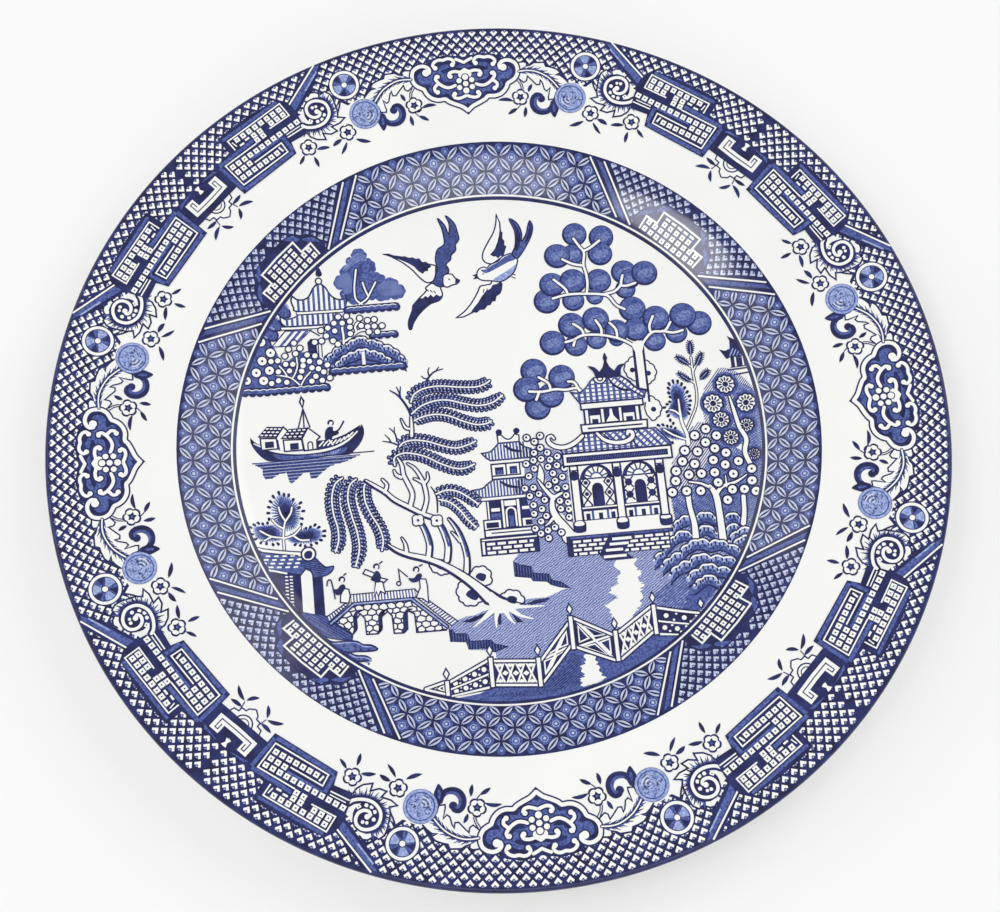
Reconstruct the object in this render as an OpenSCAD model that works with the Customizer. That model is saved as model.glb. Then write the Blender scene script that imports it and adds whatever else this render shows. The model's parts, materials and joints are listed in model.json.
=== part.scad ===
// China dinner plate: a fired biscuit body, the printed decoration laid on it,
// and the clear glaze that seals the print in. Millimetres, +Z up, the origin
// on the table under the middle of the foot ring.

/* [Plate] */
// Outside diameter of the plate
plate_d = 260; // [240:2:280]
// Height of the rim's top above the table
plate_h = 20.5; // [18.5:0.5:24]
// Diameter of the flat floor of the well
well_d = 140; // [130:2:146]
// Height of the well's floor above the table
well_z = 7.5; // [7:0.25:8.5]
// Diameter at which the shoulder turns into the rim
shoulder_d = 192; // [188:2:198]
// Height of the front face where the shoulder turns into the rim
shoulder_z = 15.8; // [14.5:0.1:16.2]
// Thickness of the rim at its rounded edge
lip_t = 2.8; // [2.2:0.1:3.2]
// Thickness of the wall where it meets the foot ring
wall_t = 5.0; // [4.4:0.1:5.4]

/* [Foot ring] */
// Outside diameter of the foot ring where it stands on the table
foot_d = 151; // [147:1:153]
// Width of the bare face that the foot ring stands on
foot_w = 2.6; // [2:0.1:3.2]
// Height of the recess inside the foot ring
recess_h = 3.0; // [2.6:0.1:3.4]
// Height above the table at which the wiped glaze begins
wiped_h = 0.8; // [0.5:0.1:1]

/* [Glaze and print] */
// Thickness of the glaze over the bare body
glaze_t = 0.3; // [0.2:0.05:0.4]
// Thickness allowed for the printed colour under the glaze
print_t = 0.1; // [0.05:0.05:0.1]
// Diameter of the printed picture in the well
picture_d = 154; // [152:1:156]
// Inside diameter of the printed band on the shoulder
band_in_d = 157; // [157:1:160]
// Outside diameter of the printed band on the shoulder
band_out_d = 187; // [184:1:187]
// Inside diameter of the printed border on the rim
border_in_d = 198; // [198:1:202]
// Outside diameter of the printed border on the rim
border_out_d = 255; // [230:1:256]

/* [Hidden] */
$fn = 128;

CLAY = "ivory";
GLAZE = "white";
COBALT = "royalblue";

plate_r = plate_d / 2;
lip_r = lip_t / 2;
// The lip is an arc about this point, and it starts and ends on the two faces.
lip_x = plate_r - lip_r;
lip_z = plate_h - lip_r;
well_r = well_d / 2;
shoulder_r = shoulder_d / 2;
rim_slope = (plate_h - shoulder_z) / (lip_x - shoulder_r);
lean = atan(rim_slope);

foot_r = foot_d / 2;
foot_chamfer = 0.5;
foot_root_r = foot_r + 2.5;
recess_r = foot_r - foot_w - 2.2;

// Even steps from a up to b, with b left out.
function steps(a, b, n) = [for (i = [0 : n - 1]) a + (b - a) * i / n];
function reversed(list) = [for (i = [len(list) - 1 : -1 : 0]) list[i]];
function unit(v) = v / norm(v);

// Height of the front face: flat in the well, an S through the shoulder, then
// the straight rim, with the same slope on both sides of each change.
function front_z(r) =
    r <= well_r ? well_z :
    r <= shoulder_r ? shoulder_curve((r - well_r) / (shoulder_r - well_r)) :
    shoulder_z + (r - shoulder_r) * rim_slope;
function shoulder_curve(t) =
    well_z + (3 * t * t - 2 * t * t * t) * (shoulder_z - well_z)
    + (t * t * t - t * t) * (shoulder_r - well_r) * rim_slope;

// Thickness of the wall, from the foot ring out to the lip.
function wall(r) = wall_t + (lip_t - wall_t) * (r - foot_root_r) / (lip_x - foot_root_r);

// Radii of the front face's points. They include every edge of a print, so
// that the layers share their corners.
FRONT_R = concat(
    [0],
    steps(well_r, picture_d / 2, 4),
    steps(picture_d / 2, band_in_d / 2, 1),
    steps(band_in_d / 2, band_out_d / 2, 9),
    steps(band_out_d / 2, shoulder_r, 2),
    steps(shoulder_r, border_in_d / 2, 2),
    steps(border_in_d / 2, border_out_d / 2, 8),
    [border_out_d / 2, lip_x]
);
front = [for (r = FRONT_R) [r, front_z(r)]];

// The lip turns from the front face's normal to the back face's.
LIP_STEPS = 10;
lip = [for (i = [1 : LIP_STEPS])
    let (a = 90 + lean - i * 180 / LIP_STEPS)
    [lip_x + lip_r * cos(a), lip_z + lip_r * sin(a)]];

back = [for (r = reversed(concat(steps(foot_root_r, shoulder_r, 6), steps(shoulder_r, lip_x - 2, 6))))
    [r, front_z(r) - wall(r)]];
foot_out = [[foot_r + 1.1, wiped_h + 1.2], [foot_r + foot_chamfer, wiped_h]];
foot_bare = [[foot_r, 0], [foot_r - foot_w, 0]];
foot_in = [[foot_r - foot_w - foot_chamfer, wiped_h], [recess_r + 0.6, recess_h - 0.6], [recess_r, recess_h], [0, recess_h]];

// The two glazed stretches of the outline, each from its start to its end.
coat = concat(front, lip, back, foot_out);
recess = foot_in;

// Direction into the clay at point i of a stretch, from its two neighbours.
function inward(path, i) =
    let (a = path[max(i - 1, 0)], b = path[min(i + 1, len(path) - 1)], d = unit(b - a))
    [d[1], -d[0]];
// The stretch moved into the clay by t. A point on the axis stays on it.
function sunk(path, t) = [for (i = [0 : len(path) - 1])
    let (n = path[i][0] == 0 ? [0, sign(path[1][0]) * inward(path, i)[1]] : inward(path, i))
    path[i] + t * n];

coat_under = sunk(coat, glaze_t);
coat_over_print = sunk(coat, glaze_t - print_t);
recess_under = sunk(recess, glaze_t);

function at(r) = search(r, FRONT_R)[0];
PRINTS = [
    [0, at(picture_d / 2)],
    [at(band_in_d / 2), at(band_out_d / 2)],
    [at(border_in_d / 2), at(border_out_d / 2)],
    [len(front), len(front) + 3]
];

// A print's cross-section: the stretch of points from first to last, between
// the clay and the glaze over it.
module print_ring(span) {
    first = span[0];
    last = span[1];
    rotate_extrude()
        polygon(concat(
            [for (i = [first : last]) coat_over_print[i]],
            [for (i = [last : -1 : first]) coat_under[i]]
        ));
}

function printed(i) = len([for (p = PRINTS) if (i > p[0] && i < p[1]) p]) > 0 || (i == 0);
function print_end(i) = len([for (p = PRINTS) if (i == p[0] && i > 0) p]) > 0;
function print_start(i) = len([for (p = PRINTS) if (i == p[1]) p]) > 0;

// The glaze's inner face steps up over each print and down again after it.
coat_inner = [for (i = [0 : len(coat) - 1]) each
    printed(i) ? [coat_over_print[i]] :
    print_end(i) ? [coat_under[i], coat_over_print[i]] :
    print_start(i) ? [coat_over_print[i], coat_under[i]] :
    [coat_under[i]]];

module body() {
    color(CLAY)
        rotate_extrude()
            polygon(concat(coat_under, foot_bare, recess_under));
}

module glaze_coat() {
    color(GLAZE)
        rotate_extrude()
            polygon(concat(coat, reversed(coat_inner)));
}

module glaze_recess() {
    color(GLAZE)
        rotate_extrude()
            polygon(concat(recess, reversed(recess_under)));
}

module picture_print() {
    color(COBALT)
        print_ring(PRINTS[0]);
}

module band_print() {
    color(COBALT)
        print_ring(PRINTS[1]);
}

module border_print() {
    color(COBALT)
        print_ring(PRINTS[2]);
}

module edge_line() {
    color(COBALT)
        print_ring(PRINTS[3]);
}

body();
glaze_coat();
glaze_recess();
picture_print();
band_print();
border_print();
edge_line();
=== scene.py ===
"""A blue and white dinner plate: a glazed lathe-turned surface with a printed pattern laid on it.

The pattern is drawn flat, in plate millimetres, with +X to the right and +Y to the top of the
picture. Each flat shape has a tone and a level, and is then laid on the plate's front face.
"""

import json
import math
import random

import bmesh
import bpy
from mathutils import Matrix, Vector
from mathutils.geometry import tessellate_polygon


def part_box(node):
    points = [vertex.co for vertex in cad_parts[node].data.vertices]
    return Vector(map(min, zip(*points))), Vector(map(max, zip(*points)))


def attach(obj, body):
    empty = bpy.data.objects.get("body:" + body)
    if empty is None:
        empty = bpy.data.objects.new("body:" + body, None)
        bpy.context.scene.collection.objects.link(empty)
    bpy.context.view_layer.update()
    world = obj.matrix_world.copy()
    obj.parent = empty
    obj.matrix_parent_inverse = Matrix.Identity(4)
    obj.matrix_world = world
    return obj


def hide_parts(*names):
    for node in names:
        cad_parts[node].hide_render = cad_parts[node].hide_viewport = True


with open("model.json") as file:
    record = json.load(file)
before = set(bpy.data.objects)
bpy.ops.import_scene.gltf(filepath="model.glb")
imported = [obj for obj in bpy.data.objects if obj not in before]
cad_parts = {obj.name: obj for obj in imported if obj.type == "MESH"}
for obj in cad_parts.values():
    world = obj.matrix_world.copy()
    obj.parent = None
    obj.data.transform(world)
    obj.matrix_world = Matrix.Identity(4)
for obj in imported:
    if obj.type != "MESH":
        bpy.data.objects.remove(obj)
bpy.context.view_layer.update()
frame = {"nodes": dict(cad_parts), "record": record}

MM = 0.001
NAVY, BLUE, WASH, PALE, MIST, WHITE = "navy", "blue", "wash", "pale", "mist", "white"
TONES = (NAVY, BLUE, WASH, PALE, MIST, WHITE)

# The plate's own sizes, in millimetres. The first ones come from the frame.
PLATE_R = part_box("glaze_coat")[1].x / MM
PLATE_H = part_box("glaze_coat")[1].z / MM
MOUNTS = {m["name"]: m for m in frame["record"]["mounts"]}
WELL_Z = MOUNTS["well_floor"]["pos_m"][2] / MM
FOOT_MID_R = MOUNTS["foot_ring"]["pos_m"][0] / MM
WELL_R = 70.0
SHOULDER_R = 96.0
SHOULDER_Z = 15.8
LIP_T = 2.8
WALL_T = 5.0
FOOT_W = 2.6
FOOT_R = FOOT_MID_R + FOOT_W / 2
GLAZE_LOW_Z = 0.8

LIP_R = LIP_T / 2
LIP_X = PLATE_R - LIP_R
LIP_Z = PLATE_H - LIP_R
RIM_SLOPE = (PLATE_H - SHOULDER_Z) / (LIP_X - SHOULDER_R)
FOOT_ROOT_R = FOOT_R + 2.5


# ---------------------------------------------------------------- the plate's surface


def front_z(r):
    """Height of the front face at radius r."""
    if r <= WELL_R:
        return WELL_Z
    if r >= SHOULDER_R:
        return SHOULDER_Z + (r - SHOULDER_R) * RIM_SLOPE
    t = (r - WELL_R) / (SHOULDER_R - WELL_R)
    rise = (3 * t * t - 2 * t**3) * (SHOULDER_Z - WELL_Z)
    return WELL_Z + rise + (t**3 - t * t) * (SHOULDER_R - WELL_R) * RIM_SLOPE


def front_slope(r):
    """Slope of the front face at radius r."""
    d = 0.01
    return (front_z(r + d) - front_z(r - d)) / (2 * d)


def wall(r):
    """Thickness of the wall at radius r, from the foot ring out to the lip."""
    return WALL_T + (LIP_T - WALL_T) * (r - FOOT_ROOT_R) / (LIP_X - FOOT_ROOT_R)


def steps(a, b, n):
    """n even steps from a up to b, with b left out."""
    return [a + (b - a) * i / n for i in range(n)]


# ---------------------------------------------------------------- drawing on a flat sheet


def smooth(points, n=5, closed=False):
    """A curve through points, n steps a span. Each point may carry a width as a third number."""
    count = len(points)

    def at(i):
        """The point with this number, going round a closed curve and stopping at an open one's ends."""
        return points[i % count] if closed else points[min(max(i, 0), count - 1)]

    path = []
    for i in range(count if closed else count - 1):
        around = list(zip(at(i - 1), at(i), at(i + 1), at(i + 2)))
        for t in steps(0, 1, n):
            path.append(
                tuple(
                    q + t * (r - p) / 2 + t * t * (p - 2.5 * q + 2 * r - s / 2)
                    + t**3 * (1.5 * q - p / 2 - 1.5 * r + s / 2)
                    for p, q, r, s in around
                )
            )
    return path if closed else path + [tuple(points[-1])]


def arc(x, y, r, start, end, n):
    """Points along an arc of n steps, from one angle to another in degrees."""
    turns = [math.radians(start + (end - start) * i / n) for i in range(n + 1)]
    return [(x + r * math.cos(a), y + r * math.sin(a)) for a in turns]


def polar(r, turn):
    """The point at radius r, turned clockwise from the top of the picture by so many degrees."""
    a = math.radians(turn)
    return r * math.sin(a), r * math.cos(a)


def mirrored(points):
    """The points to the right of the upright axis, then their reflections, as one outline."""
    return list(points) + [(-x, y) for x, y in reversed(points) if x]


def inside(x, y, outline):
    """True if the point lies inside the outline."""
    found = False
    for (x0, y0), (x1, y1) in zip(outline, outline[1:] + outline[:1]):
        if (y0 > y) != (y1 > y) and x < x0 + (y - y0) * (x1 - x0) / (y1 - y0):
            found = not found
    return found


class Sheet:
    """Flat shapes in plate millimetres. A shape is its tone, level, points and triangles."""

    def __init__(self):
        """Starts empty."""
        self.shapes = []

    def fill(self, tone, level, outline, *holes):
        """A filled outline, with holes."""
        loops = [[Vector((p[0], p[1], 0)) for p in loop] for loop in (outline, *holes)]
        points = [(p.x, p.y) for loop in loops for p in loop]
        self.shapes.append((tone, level, points, tessellate_polygon(loops)))

    def line(self, tone, level, points, width=None, closed=False, ends=True):
        """A line along points, of one width or of the width that each point carries."""
        pts = [(p[0], p[1], p[2] if len(p) > 2 else width) for p in points]
        n = len(pts)
        rails = []
        for i, (x, y, w) in enumerate(pts):
            sides = []
            for j in (i - 1, i):
                if closed or 0 <= j < n - 1:
                    (ax, ay, _), (bx, by, _) = pts[j], pts[(j + 1) % n]
                    length = math.hypot(bx - ax, by - ay) or 1
                    sides.append(((ay - by) / length, (bx - ax) / length))
            nx, ny = sum(s[0] for s in sides), sum(s[1] for s in sides)
            size = math.hypot(nx, ny) or 1
            mitre = max(0.5, (nx * sides[0][0] + ny * sides[0][1]) / size)
            reach = w / 2 / mitre / size
            rails += [(x + nx * reach, y + ny * reach), (x - nx * reach, y - ny * reach)]
        faces = []
        for i in range(n if closed else n - 1):
            a, b, c, d = 2 * i, 2 * i + 1, (2 * i + 2) % (2 * n), (2 * i + 3) % (2 * n)
            faces += [(a, b, d), (a, d, c)]
        self.shapes.append((tone, level, rails, faces))
        if ends and not closed:
            for x, y, w in (pts[0], pts[-1]):
                self.dot(tone, level, x, y, w / 2, 8)

    def curve(self, tone, level, points, width=None, ends=True):
        """A line through points as one smooth curve."""
        self.line(tone, level, smooth(points), width, ends=ends)

    def blob(self, tone, level, points, n=5):
        """A filled smooth outline."""
        self.fill(tone, level, smooth(points, n, closed=True))

    def dot(self, tone, level, x, y, r, n=16):
        """A filled circle."""
        rim = arc(x, y, r, 0, 360, n)[:-1]
        faces = [(0, i, i + 1) for i in range(1, n - 1)]
        self.shapes.append((tone, level, rim, faces))

    def ring(self, tone, level, x, y, r, width, n):
        """A circle drawn with a line."""
        self.line(tone, level, arc(x, y, r, 0, 360, n)[:-1], width, closed=True)

    def leaf(self, tone, level, x0, y0, x1, y1, width, bend=0.0):
        """A pointed leaf from its base to its tip, bent to its left by so many millimetres."""
        length = math.hypot(x1 - x0, y1 - y0)
        nx, ny = (y0 - y1) / length, (x1 - x0) / length
        spine = []
        for t in steps(0, 1, 8) + [1]:
            swell = math.sin(math.pi * t)
            x, y = x0 + (x1 - x0) * t, y0 + (y1 - y0) * t
            spine.append((x + nx * bend * swell, y + ny * bend * swell, width * swell**0.8))
        self.line(tone, level, spine, ends=False)

    def ribbon(self, level, points, width, edge=0.45, knobs=()):
        """A smooth white band with a navy edge, and round knobs where it curls up."""
        self.curve(NAVY, level, points, width + 2 * edge)
        self.curve(WHITE, level + 1, points, width)
        for x, y, r in knobs:
            self.dot(NAVY, level, x, y, r + edge)
            self.dot(WHITE, level + 1, x, y, r)

    def add(self, other, turn=0.0, mirror=False, at=(0, 0), lift=0):
        """Copies another sheet: mirrored left to right, then turned clockwise, moved and lifted."""
        a = math.radians(turn)
        c, s = math.cos(a), math.sin(a)
        flip = -1 if mirror else 1
        for tone, level, points, faces in other.shapes:
            moved = [(at[0] + c * flip * x + s * y, at[1] - s * flip * x + c * y) for x, y in points]
            self.shapes.append((tone, level + lift, moved, faces))

    def keep_within(self, r):
        """Pulls in every point that lies beyond radius r."""
        self.shapes = [
            (tone, level, [(x * min(1, r / math.hypot(x, y, 1e-9)), y * min(1, r / math.hypot(x, y, 1e-9)))
                           for x, y in points], faces)
            for tone, level, points, faces in self.shapes
        ]


LEVEL_STEP = 0.014  # between one level and the next
FIRST_LEVEL = 0.03  # of the lowest one over the glaze
ORDER_STEPS = 24  # shapes on one level are kept apart in so many steps
ORDER_SHARE = 0.4  # of a level, which all these steps take up
# Longest edges of the print, in millimetres, that lie close enough to the flat well, to the curved
# shoulder and to the rim.
WELL_EDGE = 200.0
SHOULDER_EDGE = 1.4
RIM_EDGE = 4.0
SPLIT_ROUNDS = 6  # at most, of cutting longer edges in half


def edge_limit(r):
    """Longest edge that lies close enough to the surface at radius r."""
    if r < WELL_R - 1:
        return WELL_EDGE
    return SHOULDER_EDGE if r < SHOULDER_R + 1 else RIM_EDGE


def lay(name, sheet, materials, replaces):
    """Lays a sheet's shapes on the plate, as one piece for each tone."""
    made = []
    for tone in TONES:
        verts, faces = [], []
        for order, (shape_tone, level, points, triangles) in enumerate(sheet.shapes):
            if shape_tone != tone:
                continue
            lift = level + ORDER_SHARE * (order % ORDER_STEPS) / ORDER_STEPS
            start = len(verts)
            verts += [(x, y, lift) for x, y in points]
            for a, b, c in triangles:
                (ax, ay), (bx, by), (cx, cy) = points[a], points[b], points[c]
                area = (bx - ax) * (cy - ay) - (by - ay) * (cx - ax)
                if abs(area) > 1e-6:
                    b, c = (b, c) if area > 0 else (c, b)
                    faces.append((start + a, start + b, start + c))
        if faces:
            made.append(lay_mesh(f"{name}_{tone}", verts, faces, materials[tone]))
    for piece in made:
        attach(piece, "root")
    if replaces:
        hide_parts(*replaces)


def lay_mesh(name, verts, faces, material):
    """A mesh of flat shapes, split finely where the plate curves and dropped on to its face."""
    mesh = bpy.data.meshes.new(name)
    mesh.from_pydata(verts, [], faces)
    bm = bmesh.new()
    bm.from_mesh(mesh)
    for _ in range(SPLIT_ROUNDS):
        long_edges = []
        for edge in bm.edges:
            a, b = edge.verts[0].co, edge.verts[1].co
            r = math.hypot(a.x + b.x, a.y + b.y) / 2
            r = r if r > WELL_R - 1 else max(a.xy.length, b.xy.length)
            if (a - b).length > edge_limit(r):
                long_edges.append(edge)
        if not long_edges:
            break
        bmesh.ops.subdivide_edges(bm, edges=long_edges, cuts=1)
        bmesh.ops.triangulate(bm, faces=[f for f in bm.faces if len(f.verts) > 3])
    plan = bm.loops.layers.uv.new("OFBake")
    normals = []
    for vert in bm.verts:
        x, y, lift = vert.co
        r = math.hypot(x, y)
        slope = front_slope(r) if r > WELL_R else 0.0
        up = Vector((-slope * x / (r or 1), -slope * y / (r or 1), 1)).normalized()
        height = FIRST_LEVEL + LEVEL_STEP * lift
        vert.co = Vector((x, y, front_z(r))) * MM + up * height * MM
        normals.append(up)
    for face in bm.faces:
        face.smooth = True
        for loop in face.loops:
            x, y, _ = loop.vert.co
            loop[plan].uv = (0.5 + x / MM / PLATE_R / 2, 0.5 + y / MM / PLATE_R / 2)
    bm.to_mesh(mesh)
    bm.free()
    mesh.normals_split_custom_set_from_vertices(normals)
    mesh.materials.append(material)
    piece = bpy.data.objects.new(name, mesh)
    bpy.context.scene.collection.objects.link(piece)
    return piece


# ---------------------------------------------------------------- small motifs


def lobed(r, lobes, depth):
    """A round outline with so many lobes, their notches cut in by that share."""
    rim = []
    for a in steps(0, 2 * math.pi, 40):
        reach = r * (1 - depth * (1 - abs(math.cos(lobes * a / 2))) ** 1.5)
        rim.append((reach * math.sin(a), reach * math.cos(a)))
    return rim


def blossom():
    """A five-petalled flower with a star at its middle."""
    sheet = Sheet()
    r = 2.4
    sheet.fill(NAVY, 4, lobed(r + 0.3, 5, 0.22))
    sheet.fill(WHITE, 5, lobed(r - 0.28, 5, 0.2))
    sheet.fill(NAVY, 6, [polar(r * (0.6 if i % 2 else 0.34), 36 * i) for i in range(10)])
    sheet.dot(BLUE, 7, 0, 0, 0.16 * r, 8)
    return sheet


def wheel():
    """A disc with a white tyre, six shaded sectors and a white hub."""
    sheet = Sheet()
    sheet.dot(NAVY, 4, 0, 0, 4.85, 40)
    sheet.ring(WHITE, 5, 0, 0, 4.05, 0.85, 40)
    for i in range(6):
        turn = 60 * i
        tone = BLUE if i % 2 else PALE
        rim = [polar(3.35, turn + d) for d in steps(-28, 28, 8) + [28]]
        sheet.fill(tone, 5, [(0, 0)] + rim)
        if i % 2:
            sheet.fill(NAVY, 6, [polar(1.0, turn)] + [polar(3.35, turn + d) for d in (-26, -13, 0, 8)])
    sheet.dot(NAVY, 7, 0, 0, 1.05, 16)
    sheet.dot(WHITE, 8, 0, 0, 0.8, 16)
    return sheet


def speckled_disc(rng):
    """A pale disc with a rim, filled with short engraved scribbles."""
    sheet = Sheet()
    sheet.dot(BLUE, 6, 0, 0, 4.75, 40)
    sheet.ring(PALE, 7, 0, 0, 4.3, 0.65, 40)
    sheet.dot(PALE, 7, 0, 0, 3.6, 32)
    for _ in range(46):
        r, turn = 3.3 * math.sqrt(rng.random()), 360 * rng.random()
        x, y = polar(r, turn)
        heading = rng.choice((20, 70, 120)) + 30 * rng.random()
        dx, dy = polar(0.45 + 0.5 * rng.random(), heading)
        tone = BLUE if rng.random() < 0.7 else NAVY
        sheet.line(tone, 8, [(x - dx / 2, y - dy / 2), (x + dx / 2, y + dy / 2)], 0.24, ends=False)
    for i in range(5):
        bend = [polar(0.5 + 0.55 * i, a) for a in range(200, 271, 14)]
        sheet.line(NAVY if i % 2 else WHITE, 9, bend, 0.2, ends=False)
    return sheet


def scale_cell(size, tone):
    """One cell of the scale lattice: a light heart with a blue scale and a dot in its notch."""
    sheet = Sheet()
    heart = mirrored([(0, -1.2), (1.3, 0.25), (0.8, 0.85), (0, 0.1)])
    sheet.fill(tone, 1, [(x * size, y * size) for x, y in heart])
    scale = [(0, 0.3), (0.42, 0.72), (0, 1.15), (-0.42, 0.72)]
    sheet.fill(PALE, 1, [(x * size, y * size) for x, y in scale])
    sheet.dot(NAVY, 2, 0, 0.5 * size, 0.2 * size, 8)
    return sheet


def scale_lattice(sheet, region, top_r, low_r, row, per_quarter, size, tone):
    """A quarter turn of scale lattice, where its cells fall inside an outline of one octant."""
    cell = scale_cell(size, tone)
    pitch = 90 / per_quarter
    for k, r in enumerate(steps(top_r, low_r, round((top_r - low_r) / row))):
        for j in range(per_quarter):
            turn = (j + 0.5 * (k % 2)) * pitch
            if inside(*polar(r, min(turn, 90 - turn)), region):
                sheet.add(cell, turn, at=polar(r, turn))


def squares(sheet, level, start, end, count, size=0.78):
    """A row of small white squares, each with a dot, from one middle to another."""
    (x0, y0), (x1, y1) = start, end
    span = math.hypot(x1 - x0, y1 - y0) or 1
    ux, uy = ((x1 - x0) / span, (y1 - y0) / span) if count > 1 else (0.98, 0.18)
    for i in range(count):
        t = i / max(1, count - 1)
        x, y = x0 + (x1 - x0) * t, y0 + (y1 - y0) * t
        corners = [(-1, -1), (1, -1), (1, 1), (-1, 1)]
        square = [(x + size * (a * ux - b * uy), y + size * (a * uy + b * ux)) for a, b in corners]
        sheet.fill(WHITE, level, square)
        sheet.dot(NAVY, level + 1, x, y, 0.24, 8)


# ---------------------------------------------------------------- the rim's border

BORDER_OUT_R = 129.0
# The lower edge of the border's dark ground, from the middle of a cartouche to the diagonal.
GROUND_EDGE = [
    (0, 119), (9, 118), (16.5, 116), (20, 116.5), (25, 115.5), (28, 113.5), (30.5, 110.5),
    (34, 109), (36.5, 107.6), (38.6, 108.8), (39.9, 107.4), (42, 109.5), (48, 110), (50, 106.5),
]


def octant_arc(r):
    """An arc about the plate's axis over one octant, from the diagonal to the middle of a cartouche."""
    return [polar(r, a) for a in steps(45, 0, 12) + [0]]


BORDER_GROUND = octant_arc(BORDER_OUT_R) + GROUND_EDGE + [polar(112, 45)]


def cartouche(sheet):
    """The right half of a ruyi-shaped cartouche, with the point of its ogee towards the well."""
    rim = [
        (0, 103.5), (1.7, 104.9), (3.9, 105.9), (5.6, 106.8), (6.6, 107.6), (8.6, 107.5),
        (10.2, 107.9), (11.5, 108.8), (12.4, 110), (12.9, 111.1), (14.0, 111.7), (15.2, 112.5),
        (16.1, 114), (16.2, 115.8), (15.7, 117.2), (14.4, 118.2), (12.9, 118.5), (11.6, 118.1),
        (10.8, 117.2), (10.9, 116.2),
    ]
    top = [(0, 118.8), (1.1, 119.4), (2.4, 120)]
    crest = [
        (3.4, 118.2), (3.1, 119.2), (3.8, 120.1), (5, 120.35), (6.3, 120), (7.6, 120.1),
        (8.9, 119.6), (9.6, 118.6), (9.2, 117.7),
    ]
    body = [(0, 102.3)] + rim[1:16] + [(11.6, 119.4), (9.6, 120.8), (5, 121.6), (0, 120.6)]
    sheet.fill(NAVY, 3, body)
    pool = [(0, 118), (2.6, 117.6), (6, 118.6), (9.4, 116.8), (13, 116.8), (14.6, 115.2), (13.6, 112.8),
            (10.8, 112.6), (11.4, 110.6), (8.6, 109), (5.6, 109.2), (4.4, 107.4), (0, 106)]
    sheet.fill(BLUE, 4, smooth(pool, 4, closed=True))
    sheet.blob(NAVY, 4.5, [(0, 116.8), (4, 117.6), (7.2, 116.6), (5.8, 115.8), (2, 116.4)])
    sheet.blob(NAVY, 4.5, [(3.6, 112.9), (6.4, 113.2), (8, 114.8), (8, 112.9), (5.6, 111.9)])
    sheet.ribbon(5, rim, 1.1, knobs=[(11.9, 116.3, 1.1)])
    sheet.ribbon(5, top, 0.9)
    sheet.ribbon(5, crest, 0.95, knobs=[(3.6, 118.3, 0.72), (8.9, 117.6, 0.72)])
    sheet.fill(NAVY, 4.5, [(0, 102.1), (2, 104.2), (0, 105)])
    # The scrolls inside it.
    sheet.ribbon(7, [(0, 116.2), (1.4, 115.8), (3, 116.1), (4.5, 115.8), (5.0, 114.9)], 0.95,
                 knobs=[(4.5, 114.6, 0.72)])
    sheet.ribbon(7, [(3.2, 111.7), (4.6, 111.2), (5.9, 111.2), (7.3, 111.9), (8.4, 112.9), (9.1, 114),
                     (8.8, 115)], 0.95,
                 knobs=[(8.4, 114.8, 0.68)])
    sheet.ribbon(7, [(8.6, 112.4), (9.6, 111.4), (9.5, 110.3)], 0.95, knobs=[(8.8, 109.9, 0.72)])
    sheet.ribbon(7, [(0, 108.3), (1.2, 107.8), (2.5, 107.5), (3.6, 107.8), (4.1, 108.6)], 0.95,
                 knobs=[(3.6, 109, 0.7)])
    sheet.fill(NAVY, 7.5, [(0, 117.4), (1.4, 116.7), (2.4, 115.2), (2, 114), (0, 114)])
    sheet.fill(WHITE, 8, [(0, 117.1), (1.3, 116.3), (2.1, 115), (1.6, 113.6), (0, 113)])
    # Seven beads round the middle: one and a half at the sides, and halves on the axis.
    for x, y, r in ((1.95, 113.1, 0.82), (1.95, 110.9, 0.82)):
        sheet.dot(NAVY, 9, x, y, r + 0.32)
        sheet.dot(WHITE, 10, x, y, r)
    for y, r in ((114.1, 0.92), (112, 0.85), (109.8, 0.95)):
        for tone, level, reach in ((NAVY, 11, r + 0.3), (WHITE, 12, r)):
            sheet.fill(tone, level, [(x, y + z) for x, z in arc(0, 0, reach, 90, -90, 10)])


def leaf_spray(sheet):
    """The feathered leaf beside a cartouche."""
    upper = [
        (16.8, 117.4), (18.4, 117.5), (19.3, 117.0), (19.1, 116.0), (20.4, 116.3), (21.4, 116.9),
        (24.6, 116.7), (25.0, 115.4), (26.4, 115.0), (28.2, 114.2), (29.3, 112.9), (27.7, 112.3),
        (29.0, 112.2), (30.3, 111), (31.3, 109.7),
    ]
    lower = [
        (28.4, 108), (27.2, 106.5), (26.6, 104.8), (24.9, 104.7), (24.9, 105.6), (25.7, 108.5), (24.6, 107.5),
        (23.9, 108.1), (23.4, 110.4), (22.9, 111.2), (22.6, 109.8), (21.6, 109.8), (20.4, 111.3),
        (19.1, 112.8), (18.7, 111.4), (17.8, 110.9), (16.2, 112.4),
    ]
    sheet.fill(WHITE, 4, [(16.2, 112.4), (16.2, 117.4)] + upper + lower[:-1])
    sheet.line(NAVY, 5, upper, 0.5)
    sheet.line(NAVY, 5, lower, 0.42)
    rib = [(16.6, 114.5), (19, 114.6), (21.3, 114.2), (23.6, 113.1), (25.6, 111.6), (27.1, 109.8),
           (28.1, 108.3)]
    path = smooth(rib, 4)
    for i, ((x0, y0), (x1, y1)) in enumerate(zip(path, path[1:])):
        along = math.atan2(y1 - y0, x1 - x0)
        for side in (1, -1):
            reach = (2.3 + 0.9 * math.sin(2.1 * i)) * (0.95 if side > 0 else 0.8)
            a = along + side * 0.55
            tip = (x0 + reach * math.cos(a), y0 + reach * math.sin(a))
            tone = (NAVY, BLUE)[i % 2]
            sheet.line(tone, 6, [(x0, y0, 0.75), (*tip, 0.14)], ends=False)
    sheet.ribbon(7, rib, 0.4, edge=0.3)


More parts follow.
